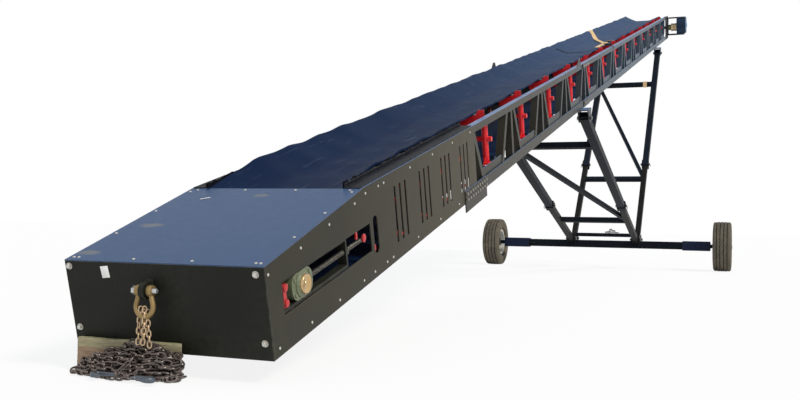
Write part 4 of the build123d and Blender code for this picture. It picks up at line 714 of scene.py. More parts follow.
idler_red = coated("idler_red", (0.74, 0.014, 0.022), 0.38, dust=(0.34, 0.10, 0.08), dust_amount=0.25,
                   edge=(0.28, 0.10, 0.08))
finish_nodes(idler_red, "idler_stands", "loading_idler_frames")
red = idler_red.node_tree
stood = node(red, "TexCoord").outputs["Object"]
height = node(red, "VectorMath", {0: stood, 1: tuple(SQUARE)}, operation="DOT_PRODUCT").outputs["Value"]
tip_height = float(np.dot((TAIL_X, 0.0, TAIL_Z), SQUARE)) + TIP_N
high = ramp(red, height, tip_height, tip_height + TIP_FADE)
leftward = node(red, "SeparateXYZ", {0: stood}).outputs["Y"]
leftward = ramp(red, leftward, LEFT_TIPS_Y, LEFT_TIPS_Y + LEFT_FADE)
laid_over(idler_red, combined(red, "MULTIPLY", high, leftward), (0.03, 0.05, 0.09))
roll_steel = coated("roll_steel", (0.10, 0.10, 0.105), 0.38, dust=(0.12, 0.10, 0.08), dust_amount=0.5,
                    metallic=0.7)
finish_nodes(roll_steel, "trough_rolls", "return_rolls", "tail_pulley")
weld = turned([(0.0185, -0.004), (0.0225, -0.0035), (0.0215, 0.001), (0.0185, 0.003)], 20, loop=True)
weld_rows = [(s, side, y, way) for s in IDLER_S for side in SIDES
             for y, way in ((WELD_INNER_Y, -side), (WELD_OUTER_Y, side))]
weld_places = [on_frame(s, side * y, WELD_N) for s, side, y, way in weld_rows]
weld_turns = [outward(way) for s, side, y, way in weld_rows]
piece("stand_welds", repeated(weld, weld_places, weld_turns), idler_red)


# Tie-down strap: one length of woven webbing over the belt at a truss node,
# pulled tight from chord to chord by a ratchet. A lighter strap lies loose on
# the belt beside it.
STRAP_S, STRAP_WIDTH, STRAP_WALL = 9.885, 0.050, 0.0028
CHORD_SIDE, CHORD_LOW, CHORD_TOP = 0.4935, 0.4600, 0.4915
# Base, two cheeks and handle of the ratchet: each its size, and its place from the strap's middle.
RATCHET_PLATES = (((0.058, 0.060, 0.004), 0.0, -0.430, 0.5125),
                  ((0.003, 0.085, 0.030), -0.030, -0.425, 0.520),
                  ((0.003, 0.085, 0.030), 0.030, -0.425, 0.520), ((0.052, 0.070, 0.005), 0.0, -0.395, 0.537))
SPOOL_Y, SPOOL_N, WEB_LIFT, TAIL_LIFT, LIFTED_Y = -0.440, 0.524, 0.004, 0.005, 0.37
LOOSE_RUN = ((13.30, 0.372), (12.80, 0.240), (12.30, 0.110), (11.75, -0.040), (11.30, -0.170),
             (11.00, -0.270), (10.85, -0.350))
LOOSE_TAIL = ((11.25, -0.190), (10.85, -0.255), (10.35, -0.285), (9.95, -0.300), (9.60, -0.310))


def distance_along(path):
    """Running length of a path at each of its points."""
    return np.concatenate([[0.0], np.cumsum(np.linalg.norm(np.diff(path, axis=0), axis=1))])


def smoothed(line, spread):
    """Each point averaged with a spread of neighbours on both sides; the end points count as repeated."""
    padded = np.pad(line, ((spread, spread), (0, 0)), mode="edge")
    kernel = np.ones(2 * spread + 1) / (2 * spread + 1)
    return np.stack([np.convolve(column, kernel, mode="valid") for column in padded.T], -1)


def rounded_line(knots, count, spread):
    """Even points along straight runs between knots, smoothed to round the bends."""
    knots = np.asarray(knots, float)
    run = distance_along(knots)
    at = np.linspace(0.0, run[-1], count)
    return smoothed(np.stack([np.interp(at, run, column) for column in knots.T], -1), spread)


def webbing():
    """A flat section along s, carried across the machine on a rounded line of knots (y, n): down the
    chords' outer sides, over their tops and along the troughed belt."""
    edge_y = CENTRE_HALF + (BELT_HALF - CENTRE_HALF) * math.cos(TROUGH) + 0.012
    edge_n = TROUGH_N + (BELT_HALF - CENTRE_HALF) * math.sin(TROUGH) + 0.018
    half = np.array([(CENTRE_HALF, TROUGH_N + 0.0145), (edge_y - 0.016, edge_n + 0.003),
                     (edge_y + 0.006, edge_n), (CHORD_SIDE, CHORD_TOP), (CHORD_SIDE, CHORD_LOW)])
    knots = np.concatenate([half[::-1] * (-1, 1), half])
    rows = 240
    at = np.linspace(0, distance_along(knots)[-1], rows)
    y, n = rounded_line(knots, rows, 2).T
    across = np.stack([-np.gradient(n), np.gradient(y)], -1)
    across /= np.linalg.norm(across, axis=1, keepdims=True)
    u = np.array([-1, -0.9, -0.45, 0, 0.45, 0.9, 1, 1, 0.9, 0.45, 0, -0.45, -0.9, -1])
    t = np.array([0.3, 0, 0, 0, 0, 0, 0.3, 0.7, 1, 1, 1, 1, 1, 0.7]) * STRAP_WALL
    points = on_frame(STRAP_S + (0.002 * np.sin(5 * at))[:, None] + u * STRAP_WIDTH / 2,
                      y[:, None] + across[:, :1] * t, n[:, None] + across[:, 1:] * t).reshape(-1, 3)
    ring = np.arange(14)
    return points, np.concatenate([strip_faces(rows, 14), cap(ring), cap(ring + (rows - 1) * 14)])


strap_web = coated("strap_web", (0.040, 0.060, 0.095), 0.75, dust=(0.09, 0.10, 0.12), dust_amount=0.6,
                   specular=0.05, edge_amount=0.0)
weave = strap_web.node_tree
woven = node(weave, "TexWave", {"Vector": node(weave, "TexCoord").outputs["Object"], "Scale": 260.0,
                                "Distortion": 0.6}, wave_type="BANDS", bands_direction="Y")
ribs = node(weave, "Bump", {"Height": woven.outputs[0], "Strength": 0.5, "Distance": 0.0006})
weave.links.new(ribs.outputs[0], weave.nodes["Principled BSDF"].inputs["Normal"])
piece("strap_band", webbing(), strap_web, hides=("belt_strap",))
spool = turned([(0.002, -0.036), (0.010, -0.036), (0.010, 0.036), (0.002, 0.036)], 18)
ratchet_parts = [moved(spool, on_frame(STRAP_S, SPOOL_Y, SPOOL_N), facing_along(ALONG))]
for size, ds, y, n in RATCHET_PLATES:
    ratchet_parts.append(moved(bevelled_box(size), on_frame(STRAP_S + ds, y, n), FRAME_TURN))
ratchet_black = coated("ratchet_black", (0.03, 0.035, 0.045), 0.45, metallic=0.4, specular=0.2)
piece("strap_ratchet", joined(*ratchet_parts), ratchet_black)


def swept(path, section, closed=False, lead=(0.0, 0.0, 1.0)):
    """A closed (a, b) section carried along a path of points: a is measured sideways, across the lead
    direction and the path, and b square to both. Sections may differ from point to point."""
    path = np.asarray(path, float)
    section = np.broadcast_to(np.asarray(section, float), (len(path),) + np.shape(section)[-2:])
    if closed:
        ahead = np.roll(path, -1, 0) - np.roll(path, 1, 0)
    else:
        ahead = np.gradient(path, axis=0)
    ahead /= np.linalg.norm(ahead, axis=1, keepdims=True)
    side = np.cross(np.broadcast_to(np.asarray(lead, float), path.shape), ahead)
    side /= np.linalg.norm(side, axis=1, keepdims=True)
    rise = np.cross(ahead, side)
    points = path[:, None] + section[..., :1] * side[:, None] + section[..., 1:] * rise[:, None]
    faces = strip_faces(len(path), section.shape[1], rows_closed=closed)
    if not closed:
        ring = np.arange(section.shape[1])
        faces = np.concatenate([faces, cap(ring), cap(ring + (len(path) - 1) * section.shape[1])])
    return points.reshape(-1, 3), faces


def on_belt(line):
    """World points of an (s, y) line laid on the carrying belt: level in the middle and up the wings."""
    s, y = line[:, 0], line[:, 1]
    wing = np.clip(np.abs(y) - CENTRE_HALF, 0, None)
    lifted_edge = LEFT_RISE * np.clip(y / LIFTED_Y, 0, 1) ** 3
    return on_frame(s, y, TROUGH_N + BELT_WALL + WEB_LIFT + wing * math.tan(TROUGH) + lifted_edge)


flat_web = np.array([(-0.034, 0.0), (-0.012, -0.0006), (0.012, -0.0006), (0.034, 0.0), (0.034, 0.0035),
                     (0.012, 0.0035), (-0.012, 0.0035), (-0.034, 0.0035)])
loose = rounded_line(LOOSE_RUN, 90, 5)
loose_tail = rounded_line(LOOSE_TAIL, 60, 4)
cream_web = coated("cream_web", (0.80, 0.56, 0.30), 0.75, dust=(0.35, 0.24, 0.13), dust_amount=0.6,
                   specular=0.08, edge_amount=0.0)
piece("loose_strap", joined(swept(on_belt(loose), flat_web),
                            swept(on_belt(loose_tail) + SQUARE * TAIL_LIFT, flat_web)),
      cream_web)


# Head and drive: lagged drum, cast bearings, a bolted coupling and a round
# gear motor with a light cover, hung out on the right.
HEAD_BOSS_Y, HEAD_BOSS_SCALE, STUD_CIRCLE = 0.551, 1.06, 0.071
COUPLING_MIDDLE, MOTOR_FACE, MOTOR_N, MOTOR_BOLT_CIRCLE = -0.625, -0.886, 0.269, 0.148
COVER_SUNK, BOLT_STANDOFF = 0.0055, 0.001

drum_dark = coated("drum_dark", (0.010, 0.018, 0.040), 0.55, dust=(0.10, 0.10, 0.11), dust_amount=0.5,
                   bump=0.2)
finish_nodes(drum_dark, "head_pulley")
finish_nodes(cast_green, "take_up_bearings", "head_bearings")
# The coupling's own tan, raised to a bright gold as a painted highlight.
coupling_tan_and_highlight = coated("coupling_tan_and_highlight", (0.86, 0.64, 0.34), 0.34, dust=(0.34, 0.24, 0.12), dust_amount=0.6,
                      metallic=0.3, edge=(0.95, 0.85, 0.62))
finish_nodes(coupling_tan_and_highlight, "drive_coupling")
finish_nodes(shade_black, "head_plate_left", "head_plate_right", "drive_frame")
head_boss = turned([(radius * HEAD_BOSS_SCALE, height) for radius, height in BOSS], 40, loop=True)
piece("head_bosses", on_both_sides(head_boss, HEAD_S, HEAD_BOSS_Y, HEAD_N), brass)
stud = turned([(0.002, -0.018), (0.0085, -0.018), (0.0085, 0.018), (0.002, 0.018)], 12)
studs = [on_frame(HEAD_S + STUD_CIRCLE * np.cos(a), COUPLING_MIDDLE, HEAD_N + STUD_CIRCLE * np.sin(a))
         for a in round_angles(8)]
piece("coupling_studs", repeated(stud, studs, outward(-1)), zinc)
motor_blue = coated("motor_blue", (0.13, 0.27, 0.47), 0.40, dust=(0.20, 0.25, 0.32), dust_amount=0.5,
                    edge=(0.4, 0.5, 0.6))
motor_navy = coated("motor_navy", (0.012, 0.030, 0.066), 0.42, dust=(0.06, 0.07, 0.09), dust_amount=0.4,
                    specular=0.15)
finish_nodes(motor_navy, "gear_motor")
cover_disc = turned([(0.002, 0.0), (0.160, 0.0), (0.163, 0.003), (0.163, 0.006), (0.120, 0.009),
                     (0.062, 0.009), (0.058, 0.022), (0.030, 0.026), (0.002, 0.027)], 64)
piece("motor_cover", moved(cover_disc, on_frame(HEAD_S, MOTOR_FACE + COVER_SUNK, MOTOR_N), outward(-1)),
      motor_blue)
motor_bolt = turned([(0.0085, 0.0), (0.0085, 0.007), (0.007, 0.0085), (0.001, 0.0085)], 24, 6)
bolts = [on_frame(HEAD_S + MOTOR_BOLT_CIRCLE * np.cos(a), MOTOR_FACE - BOLT_STANDOFF,
                  MOTOR_N + MOTOR_BOLT_CIRCLE * np.sin(a))
         for a in round_angles(12, 0.13)]
piece("motor_bolts", repeated(motor_bolt, bolts, outward(-1)), zinc)


# Undercarriage: painted square tube, nearly black, with plated pins. The
# collars' pins lock the legs at their length.
FRONT_PIN, REAR_PIN, LEG_HANG, LEG_Y = 7.243, 15.826, 0.105, 0.520
AXLE_Z, FOOT_OFFSET, FOOT_RISE = 0.392, 0.118, 0.084
LEG_PIN_OUT, FOOT_PIN_OUT, LOCK_OUT, RING_OUT = 0.0735, 0.0765, 0.0745, 0.0865
FRONT_SLEEVE, REAR_SLEEVE, COLLAR_HALF, RING_RADIUS, RING_ROD = 3.350, 3.150, 0.060, 0.024, 0.0032


def corners_of(node_name):
    """Least and greatest corner of a CAD node, as arrays."""
    low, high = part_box(node_name)
    return np.array(low), np.array(high)


# Upward faces of the undercarriage are tinted blue: a painted reflection of the sky.
leg_blue_black = coated("leg_blue_black", (0.0065, 0.009, 0.014), 0.44, dust=(0.045, 0.040, 0.033),
                        dust_amount=0.45, top=(0.05, 0.08, 0.15), top_amount=0.5, edge=(0.10, 0.10, 0.10),
                        specular=0.04)
finish_nodes(leg_blue_black, "axle_beam", "axle_leg_lugs", "axle_tie", "front_leg_crossbars",
             "rear_leg_crossbars", "leg_braces", "front_leg_sleeve_left",
             "front_leg_sleeve_right", "rear_leg_sleeve_left", "rear_leg_sleeve_right", "tow_lug")
axle_blue = coated("axle_blue", (0.007, 0.014, 0.040), 0.42, dust=(0.06, 0.055, 0.05), dust_amount=0.4,
                   specular=0.12)
finish_nodes(axle_blue, "axle_sleeves")
ram_grey = coated("ram_grey", (0.012, 0.012, 0.012), 0.44, dust=(0.07, 0.06, 0.045), dust_amount=0.6,
                  specular=0.05)
finish_nodes(ram_grey, "front_leg_ram_left", "front_leg_ram_right", "rear_leg_ram_left", "rear_leg_ram_right")

beam_low, beam_high = corners_of("axle_beam")
AXLE_X = float(beam_low[0] + beam_high[0]) / 2
pin_end = turned([(0.002, 0.0), (0.024, 0.0), (0.026, 0.002), (0.026, 0.006), (0.0185, 0.0065),
                  (0.0185, 0.011), (0.016, 0.0125), (0.002, 0.0125)], 28)
ends, turns = [], []
for side in SIDES:
    for out in (-1, 1):
        spots = [on_frame(s, side * LEG_Y + out * LEG_PIN_OUT, -LEG_HANG) for s in (FRONT_PIN, REAR_PIN)]
        spots += [np.array([AXLE_X + way * FOOT_OFFSET, side * LEG_Y + out * FOOT_PIN_OUT,
                            AXLE_Z + FOOT_RISE])
                  for way in (-1, 1)]
        ends += spots
        turns += [outward(out)] * len(spots)
piece("leg_pin_heads", repeated(pin_end, ends, turns), dark_zinc)


def round_section(radius, sides=12):
    """Points of a circle about the origin: the radius times the cosine and sine of even angles."""
    angle = round_angles(sides)
    return np.stack([radius * np.cos(angle), radius * np.sin(angle)], -1)


def collar_spots(front):
    """Middles of a leg's locking pin and its direction: half a collar back from the sleeve's lower end."""
    top = on_frame(FRONT_PIN if front else REAR_PIN, 0.0, -LEG_HANG)
    foot = np.array([AXLE_X + (-FOOT_OFFSET if front else FOOT_OFFSET), 0.0, AXLE_Z + FOOT_RISE])
    way = (foot - top) / np.linalg.norm(foot - top)
    return top + way * ((FRONT_SLEEVE if front else REAR_SLEEVE) - COLLAR_HALF), way


lock_head = turned([(0.002, 0.0), (0.021, 0.0), (0.0225, 0.002), (0.0225, 0.007), (0.020, 0.009),
                    (0.002, 0.009)], 24)
pull_ring = round_section(RING_RADIUS, 28) - (0.0, RING_RADIUS)
pull_ring = swept(np.pad(pull_ring, ((0, 0), (0, 1))), round_section(RING_ROD, 8), closed=True)
ring_turn = np.array([[1, 0, 0], [0, 0, -1], [0, 1, 0]])
lock_parts = []
for front in (True, False):
    middle, way = collar_spots(front)
    for side in SIDES:
        for out in (-1, 1):
            spot = middle + (0.0, side * LEG_Y + out * LOCK_OUT, 0.0)
            lock_parts.append(moved(lock_head, spot, outward(out)))
        lock_parts.append(moved(pull_ring, middle + (0.0, side * (LEG_Y + RING_OUT), -0.002), ring_turn))
piece("lock_pins", joined(*lock_parts), zinc)


# Things tied on the undercarriage: a cream band taped round the upper rear
# cross tube, and a short chain with its ring heaped on the tie over the axle.
BAND_BAR, BAND_Y, BAND_HALF = (5.7754, 3.4255), -0.352, 0.0502
# The band's plies: place along the tube and height over it.
PLIES = np.array([(-0.036, 0.0), (-0.036, 0.0016), (-0.012, 0.0022), (0.013, 0.0016), (0.034, 0.0020),
                  (0.034, 0.0)])

corner_angle = round_angles(32, np.pi / 32)
square = np.stack([np.cos(corner_angle), np.sin(corner_angle)], -1)
square = square / np.max(np.abs(square), axis=1, keepdims=True)
reach = (BAND_HALF + PLIES[:, 1])[:, None]
band_points = np.stack([BAND_BAR[0] + reach * square[:, 0], BAND_Y + PLIES[:, :1] + 0 * square[:, 0],
                        BAND_BAR[1] + reach * square[:, 1]], -1)
piece("cross_tube_band", (band_points.reshape(-1, 3), strip_faces(6, 32, rows_closed=True)), cream_web)


# Wheels: ribbed implement tyres, moulded with four grooves that zigzag and
# scuffed shoulders, on white disc rims held by plated nuts.
WHEEL_Y, TYRE_RADIUS, RIM_SEAT, BEAD = 1.8475, 0.392, 0.1905, 0.0950
GROOVES, GROOVE_WIDTH, GROOVE_DEPTH, ZIGZAGS = (-0.078, -0.027, 0.027, 0.078), 0.0125, 0.011, 36
CROWN_HALF, CROWN_DROP, GROOVE_SWAY, WEAR = 0.1128, 0.0062, 0.0032, 0.0012
NOTCHES, NOTCH_DEPTH, NOTCH_SHARE = 48, 0.0055, 0.34
NUT_CIRCLE, NUT_Y, VALVE_Y, VALVE_Z = 0.0845, 0.0348, 0.006, 0.1740


def ribbed_tyre():
    """A closed outline turned about Y. Over the crown the radius drops into the grooves, whose middles sway
    as a zigzag with the angle; the shoulders are notched and the side walls carry raised rings."""
    sides = 180
    angle = round_angles(sides)[:, None]
    zigzag = np.abs(np.mod(angle * ZIGZAGS / (2 * np.pi), 1.0) - 0.5) * 4 - 1
    edges = [-CROWN_HALF]
    for middle in GROOVES:
        half, floor_half = GROOVE_WIDTH / 2, GROOVE_WIDTH / 4
        edges += [middle - half - 0.001, middle - half, middle - floor_half, middle + floor_half,
                  middle + half, middle + half + 0.001]
    edges = np.array(edges + [CROWN_HALF])
    depth = np.array([0] + [0.0012, 0.004, GROOVE_DEPTH, GROOVE_DEPTH, 0.004, 0.0012] * 4 + [0])
    sway = np.array([0] + [1] * 24 + [0])
    crown_y = edges + GROOVE_SWAY * zigzag * sway
    crown_r = TYRE_RADIUS - WEAR - CROWN_DROP * (edges / CROWN_HALF) ** 4 - depth + 0 * angle
    wall_y = np.array([0.1205, 0.1265, 0.1310, 0.1318, 0.1350, 0.1368, 0.1372, 0.1350, 0.1290, 0.1288, 0.1200,
                       0.1060, 0.1010, BEAD])
    wall_r = np.array([0.3810, 0.3720, 0.3600, 0.3560, 0.3380, 0.3120, 0.2860, 0.2620, 0.2455, 0.2440, 0.2330,
                       0.2240, 0.2150, RIM_SEAT])
    ridge = np.array([0, 0, 0.0016, 0, 0, 0.0006, 0.0006, 0, 0.0018, 0, 0, 0.0012, 0, 0])
    notch = np.array([1.0, 0.8, 0.5, 0.2] + [0] * 10) * NOTCH_DEPTH
    notch = notch * (np.mod(angle * NOTCHES / (2 * np.pi), 1.0) < NOTCH_SHARE)
    right_y = wall_y + ridge + 0 * angle
    right_r = wall_r - notch
    y = np.concatenate([-right_y[:, ::-1], crown_y, right_y], 1)
    r = np.concatenate([right_r[:, ::-1], crown_r, right_r], 1)
    points = np.stack([r * np.cos(angle), y, r * np.sin(angle)], -1).reshape(-1, 3)
    return points, strip_faces(sides, y.shape[1], rows_closed=True)


tyre_rubber = coated("tyre_rubber", (0.110, 0.096, 0.074), 0.80, dust=(0.38, 0.32, 0.23), dust_amount=1.0,
                     grain=16.0, specular=0.10, bump=0.25, edge=(0.30, 0.26, 0.20), edge_amount=0.5)
tread = tyre_rubber.node_tree
spot = node(tread, "TexCoord").outputs["Object"]
off_middle = combined(tread, "ABSOLUTE", node(tread, "SeparateXYZ", {0: spot}).outputs["Y"])
off_middle = combined(tread, "ABSOLUTE", combined(tread, "SUBTRACT", off_middle, WHEEL_Y))
on_crown = ramp(tread, off_middle, 0.104, 0.098)
flat_spot = node(tread, "VectorMath", {0: spot, 1: (1.0, 0.0, 1.0)}, operation="MULTIPLY")
from_axle = node(tread, "VectorMath", {0: flat_spot.outputs[0], 1: (AXLE_X, 0.0, AXLE_Z)},
                 operation="DISTANCE")
# Groove floors on the crown are darkened: painted shade in the grooves.
painted_groove_shade = ramp(tread, from_axle.outputs["Value"], TYRE_RADIUS - 0.006, TYRE_RADIUS - 0.010)
laid_over(tyre_rubber, combined(tread, "MULTIPLY", painted_groove_shade, on_crown), (0.022, 0.019, 0.015))
rim_white = coated("rim_white", (0.70, 0.69, 0.65), 0.38, dust=(0.34, 0.27, 0.19), dust_amount=0.7,
                   edge=(0.30, 0.19, 0.12), edge_amount=0.7)
finish_nodes(rim_white, "rim_left", "rim_right")
hub_grey = coated("hub_grey", (0.12, 0.12, 0.115), 0.45, dust=(0.25, 0.2, 0.14), dust_amount=0.7,
                  metallic=0.6)
finish_nodes(hub_grey, "hub_left", "hub_right")
wheel_nut = joined(turned([(0.0150, 0.0), (0.0150, 0.002)], 20),
                   turned([(0.0120, 0.0), (0.0120, 0.013), (0.0100, 0.015), (0.0070, 0.015), (0.0070, 0.024),
                           (0.0055, 0.0255), (0.001, 0.0255)], 24, 6))
stem = turned([(0.0055, 0.0), (0.0055, 0.012), (0.0040, 0.014), (0.0040, 0.026), (0.0048, 0.027),
               (0.0048, 0.034), (0.0008, 0.0345)], 14)
for side, name in ((-1, "right"), (1, "left")):
    centre = np.array([AXLE_X, side * WHEEL_Y, AXLE_Z])
    piece("tyre_tread_" + name, moved(ribbed_tyre(), centre), tyre_rubber, "wheel_" + name, ("tyre_" + name,),
          crease=32)
    spots = [centre + (NUT_CIRCLE * np.cos(a), side * NUT_Y, NUT_CIRCLE * np.sin(a))
             for a in round_angles(8, np.pi / 8)]
    nuts = repeated(wheel_nut, spots, outward(side))
    valve = moved(stem, centre + (0.0, side * VALVE_Y, VALVE_Z), facing_along((0.0, side, 0.12)))
    piece("wheel_nuts_" + name, joined(nuts, valve), zinc, "wheel_" + name)


# Forged bow shackle: round stock bent to a bow, its two eyes pierced, with a
# plated screw pin through the lug of the tail plate.
SHACKLE_S, SHACKLE_Y, SHACKLE_N = -0.044, 0.057, 0.292
SHACKLE_DROP, SHACKLE_BOW, SHACKLE_ROD, SHACKLE_SIDE = 0.066, 0.042, 0.0110, 0.029
SHACKLE_EYE, SHACKLE_EYE_HALF, SHACKLE_PIN, SHACKLE_REACH = 0.0240, 0.0120, 0.0108, 0.060
PIN_PLAY, PAST_HALF_TURN, BOW_SWELL, PIN_HEAD = 0.0008, 0.30, 0.22, 0.020

forged_brass = coated("forged_brass", (0.30, 0.205, 0.085), 0.42, dust=(0.16, 0.10, 0.05), dust_amount=0.9,
                      metallic=0.55, grain=90.0, bump=0.35, edge=(0.62, 0.50, 0.28))
pin_silver = coated("pin_silver", (0.52, 0.54, 0.56), 0.34, dust=(0.28, 0.24, 0.20), dust_amount=0.6,
                    metallic=0.8, grain=120.0, bump=0.2)
lug_point = on_frame(SHACKLE_S, SHACKLE_Y, SHACKLE_N)
arc = np.linspace(-PAST_HALF_TURN, np.pi + PAST_HALF_TURN, 29)
bow = np.stack([np.zeros(29), SHACKLE_BOW * np.cos(arc), -SHACKLE_DROP - SHACKLE_BOW * np.sin(arc)], -1)
ear = np.array([0.0, SHACKLE_SIDE, -SHACKLE_EYE * 0.5])
limb = ear + (bow[0] - ear) * np.linspace(0.0, 1.0, 6)[:-1, None]
bow = np.concatenate([limb, bow, limb[::-1] * (1, -1, 1)])
thick = 1.0 + BOW_SWELL * np.exp(-((np.arange(len(bow)) - (len(bow) - 1) / 2) / 5.0) ** 2)
bow_shape = swept(bow, round_section(SHACKLE_ROD) * thick[:, None, None], lead=(1.0, 0.0, 0.0))
eye = turned([(SHACKLE_PIN + PIN_PLAY, -SHACKLE_EYE_HALF), (SHACKLE_EYE * 0.92, -SHACKLE_EYE_HALF),
              (SHACKLE_EYE, -SHACKLE_EYE_HALF * 0.6), (SHACKLE_EYE, SHACKLE_EYE_HALF * 0.6),
              (SHACKLE_EYE * 0.92, SHACKLE_EYE_HALF), (SHACKLE_PIN + PIN_PLAY, SHACKLE_EYE_HALF)], 28,
             loop=True)
eyes = repeated(eye, [(0, -SHACKLE_SIDE, 0), (0, SHACKLE_SIDE, 0)], outward(1))
piece("bow_shackle", moved(joined(bow_shape, eyes), lug_point), forged_brass, hides=("tail_shackle",))
pin = turned([(0.002, -SHACKLE_REACH), (SHACKLE_PIN * 0.8, -SHACKLE_REACH),
              (SHACKLE_PIN, -SHACKLE_REACH + 0.003), (SHACKLE_PIN, SHACKLE_REACH - PIN_HEAD)], 20)
pin_head = turned([(0.017, SHACKLE_REACH - PIN_HEAD), (0.017, SHACKLE_REACH - 0.004), (0.0145, SHACKLE_REACH),
                   (0.002, SHACKLE_REACH)], 24, 6)
piece("shackle_pin", moved(joined(pin, pin_head), lug_point, outward(1)), pin_silver)


# Chain: short welded links of round stock, rusty where they rub, three
# strands hanging from the bow and the rest piled on the floor.
STRAND_LINK, PILE_LINK = (0.0350, 0.0235, 0.0036), (0.0500, 0.0340, 0.0048)
PILE_LEVELS, PILE_BASE, PILE_STEP = (5, 4, 4, 3, 3, 2, 2), 0.018, 0.0215
PILE_BACK, PILE_MORE, PILE_LIMIT = 0.016, 0.006, 0.018
# Each strand's place across the bow and ahead of it, and the height where they meet the pile.
STRANDS = ((-0.019, 0.004), (-0.006, -0.012), (0.009, 0.008), (0.021, -0.006))
STRAND_SEAT, STRAND_FOOT = 0.018, 0.135
# Knots of the chain on the axle's tie: x and z from the middle of its top, y as it is.
TIE_KNOTS = ((-0.012, -0.235, 0.0), (0.014, -0.150, 0.0), (-0.014, -0.060, 0.0), (0.012, -0.010, 0.004),
             (0.004, -0.075, 0.020), (-0.010, -0.150, 0.022), (0.012, -0.185, 0.024), (0.0, -0.120, 0.042),
             (-0.006, -0.085, 0.044), (0.006, -0.135, 0.062))
# Height of the pile's outline over y.
HEAP_LINE = ((-0.124, 0.082), (-0.092, 0.112), (0.000, 0.130), (0.080, 0.158), (0.120, 0.150), (0.220, 0.115),
             (0.330, 0.092), (0.425, 0.045))


def oval_link(length, width, rod):
    """One link in its own plane: round stock of 6 sides along an oval of 14 points, whose half length is
    a straight run and a half circle."""
    angle = round_angles(14, np.pi / 14)
    radius = width / 2 - rod
    straight = (length - width) / 2
    path = np.stack([radius * np.cos(angle) + straight * np.clip(2.2 * np.cos(angle), -1, 1),
                     radius * np.sin(angle), np.zeros(14)], -1)
    return swept(path, round_section(rod, 6), closed=True)


def links_along(path, pitch, seed, roll_spread=0.25):
    """Places and turns of links a pitch apart on a path, each rolled a quarter turn from the last."""
    draw = np.random.default_rng(seed)
    path = np.asarray(path, float)
    run = distance_along(path)
    at = np.arange(0.0, run[-1], pitch)
    places = np.stack([np.interp(at, run, path[:, k]) for k in range(3)], -1)
    along = np.gradient(places, axis=0)
    along /= np.linalg.norm(along, axis=1, keepdims=True)
    hint = np.where(np.abs(along[:, 2:]) > 0.9, (0.0, 1.0, 0.0), (0.0, 0.0, 1.0))
    side = np.cross(hint, along)
    side /= np.linalg.norm(side, axis=1, keepdims=True)
    rise = np.cross(along, side)
    roll = (np.pi / 4 + np.pi / 2 * (np.arange(len(at)) % 2) + draw.normal(0, roll_spread, len(at)))[:, None]
    across = side * np.cos(roll) + rise * np.sin(roll)
    return places, np.stack([along, across, np.cross(along, across)], -1)


strand_link, pile_link = oval_link(*STRAND_LINK), oval_link(*PILE_LINK)
strand_pitch, pile_pitch = (length - 3.6 * rod for length, _, rod in (STRAND_LINK, PILE_LINK))
strand_top = lug_point + (0.0, 0.0, -SHACKLE_DROP - SHACKLE_BOW + STRAND_SEAT)
strands = []
fall = np.linspace(0.0, 1.0, 40)
for index, (across, ahead) in enumerate(STRANDS):
    height = strand_top[2] + 0.012 * (index % 2) - fall * (strand_top[2] - STRAND_FOOT)
    swing = 0.003 * np.sin(fall * 5.0 + index * 2.1)
    strand = np.stack([strand_top[0] + ahead * (0.4 + fall) + 0.6 * swing,
                       SHACKLE_Y + across * (0.85 + 0.35 * fall) + swing, height], -1)
    strands.append(repeated(strand_link, *links_along(strand, strand_pitch, 11 + index, 0.12)))
chain_rust = coated("chain_rust", (0.120, 0.098, 0.088), 0.36, dust=(0.15, 0.062, 0.035), dust_amount=0.8,
                    metallic=0.75, grain=40.0, bump=0.3, edge=(0.42, 0.38, 0.36), specular=0.3)
strand_brass = coated("strand_brass", (0.46, 0.33, 0.20), 0.38, dust=(0.20, 0.11, 0.055), dust_amount=0.8,
                      metallic=0.6, grain=60.0, bump=0.3, edge=(0.85, 0.70, 0.50))
tie_low, tie_high = corners_of("axle_tie")
tie_top = np.array([(tie_low[0] + tie_high[0]) / 2, 0.0, tie_high[2] + 0.0115])
tie_line = rounded_line(tie_top + TIE_KNOTS, 90, 2)
tie_chain = repeated(strand_link, *links_along(tie_line, strand_pitch, 41, 0.4))
dark_chain = coated("dark_chain", (0.030, 0.029, 0.027), 0.45, dust=(0.10, 0.07, 0.045), dust_amount=0.7,
                    metallic=0.5, specular=0.2)
piece("tie_chain", tie_chain, dark_chain, crease=60)
piece("chain_strands", joined(*strands), strand_brass, hides=("hanging_chain",),
      crease=60)


def heap_path():
    """The chain's line through the pile. On each level it goes to and fro along Y between the places where
    the outline HEAP_LINE is as high as the level; passes bow forward, wander, and turn in a bend."""
    draw = np.random.default_rng(5)
    heap_low, heap_high = corners_of("chain_heap")
    outline_y, outline_z = np.array(HEAP_LINE).T
    fine_y = np.linspace(outline_y[0], outline_y[-1], 200)
    fine_z = np.interp(fine_y, outline_y, outline_z)
    passes = []
    for level, count in enumerate(PILE_LEVELS):
        height = PILE_BASE + level * PILE_STEP
        reach = fine_y[fine_z >= height]
        if len(reach) < 12:
            continue
        for k in range(count):
            t = np.linspace(-1, 1, 42) * (1 if (k + level) % 2 else -1)
            y = reach.mean() + (reach[-1] - reach[0]) / 2 * t * draw.uniform(0.9, 1.0)
            ahead = (k + 0.4) / count * (1 - 0.09 * level) * (1 - 0.55 * np.abs(t) ** 2.5)
            x = (heap_high[0] - PILE_BACK - ahead * (heap_high[0] - heap_low[0] + PILE_MORE)
                 + 0.009 * np.sin(t * draw.uniform(5, 9) + draw.uniform(0, 6)))
            z = height + 0.007 * np.sin(t * draw.uniform(6, 11) + draw.uniform(0, 6)) * (level > 0)
            passes.append(np.stack([np.clip(x, None, heap_high[0] - PILE_LIMIT), y, z + 0 * t], -1))
    return smoothed(np.concatenate(passes), 2)


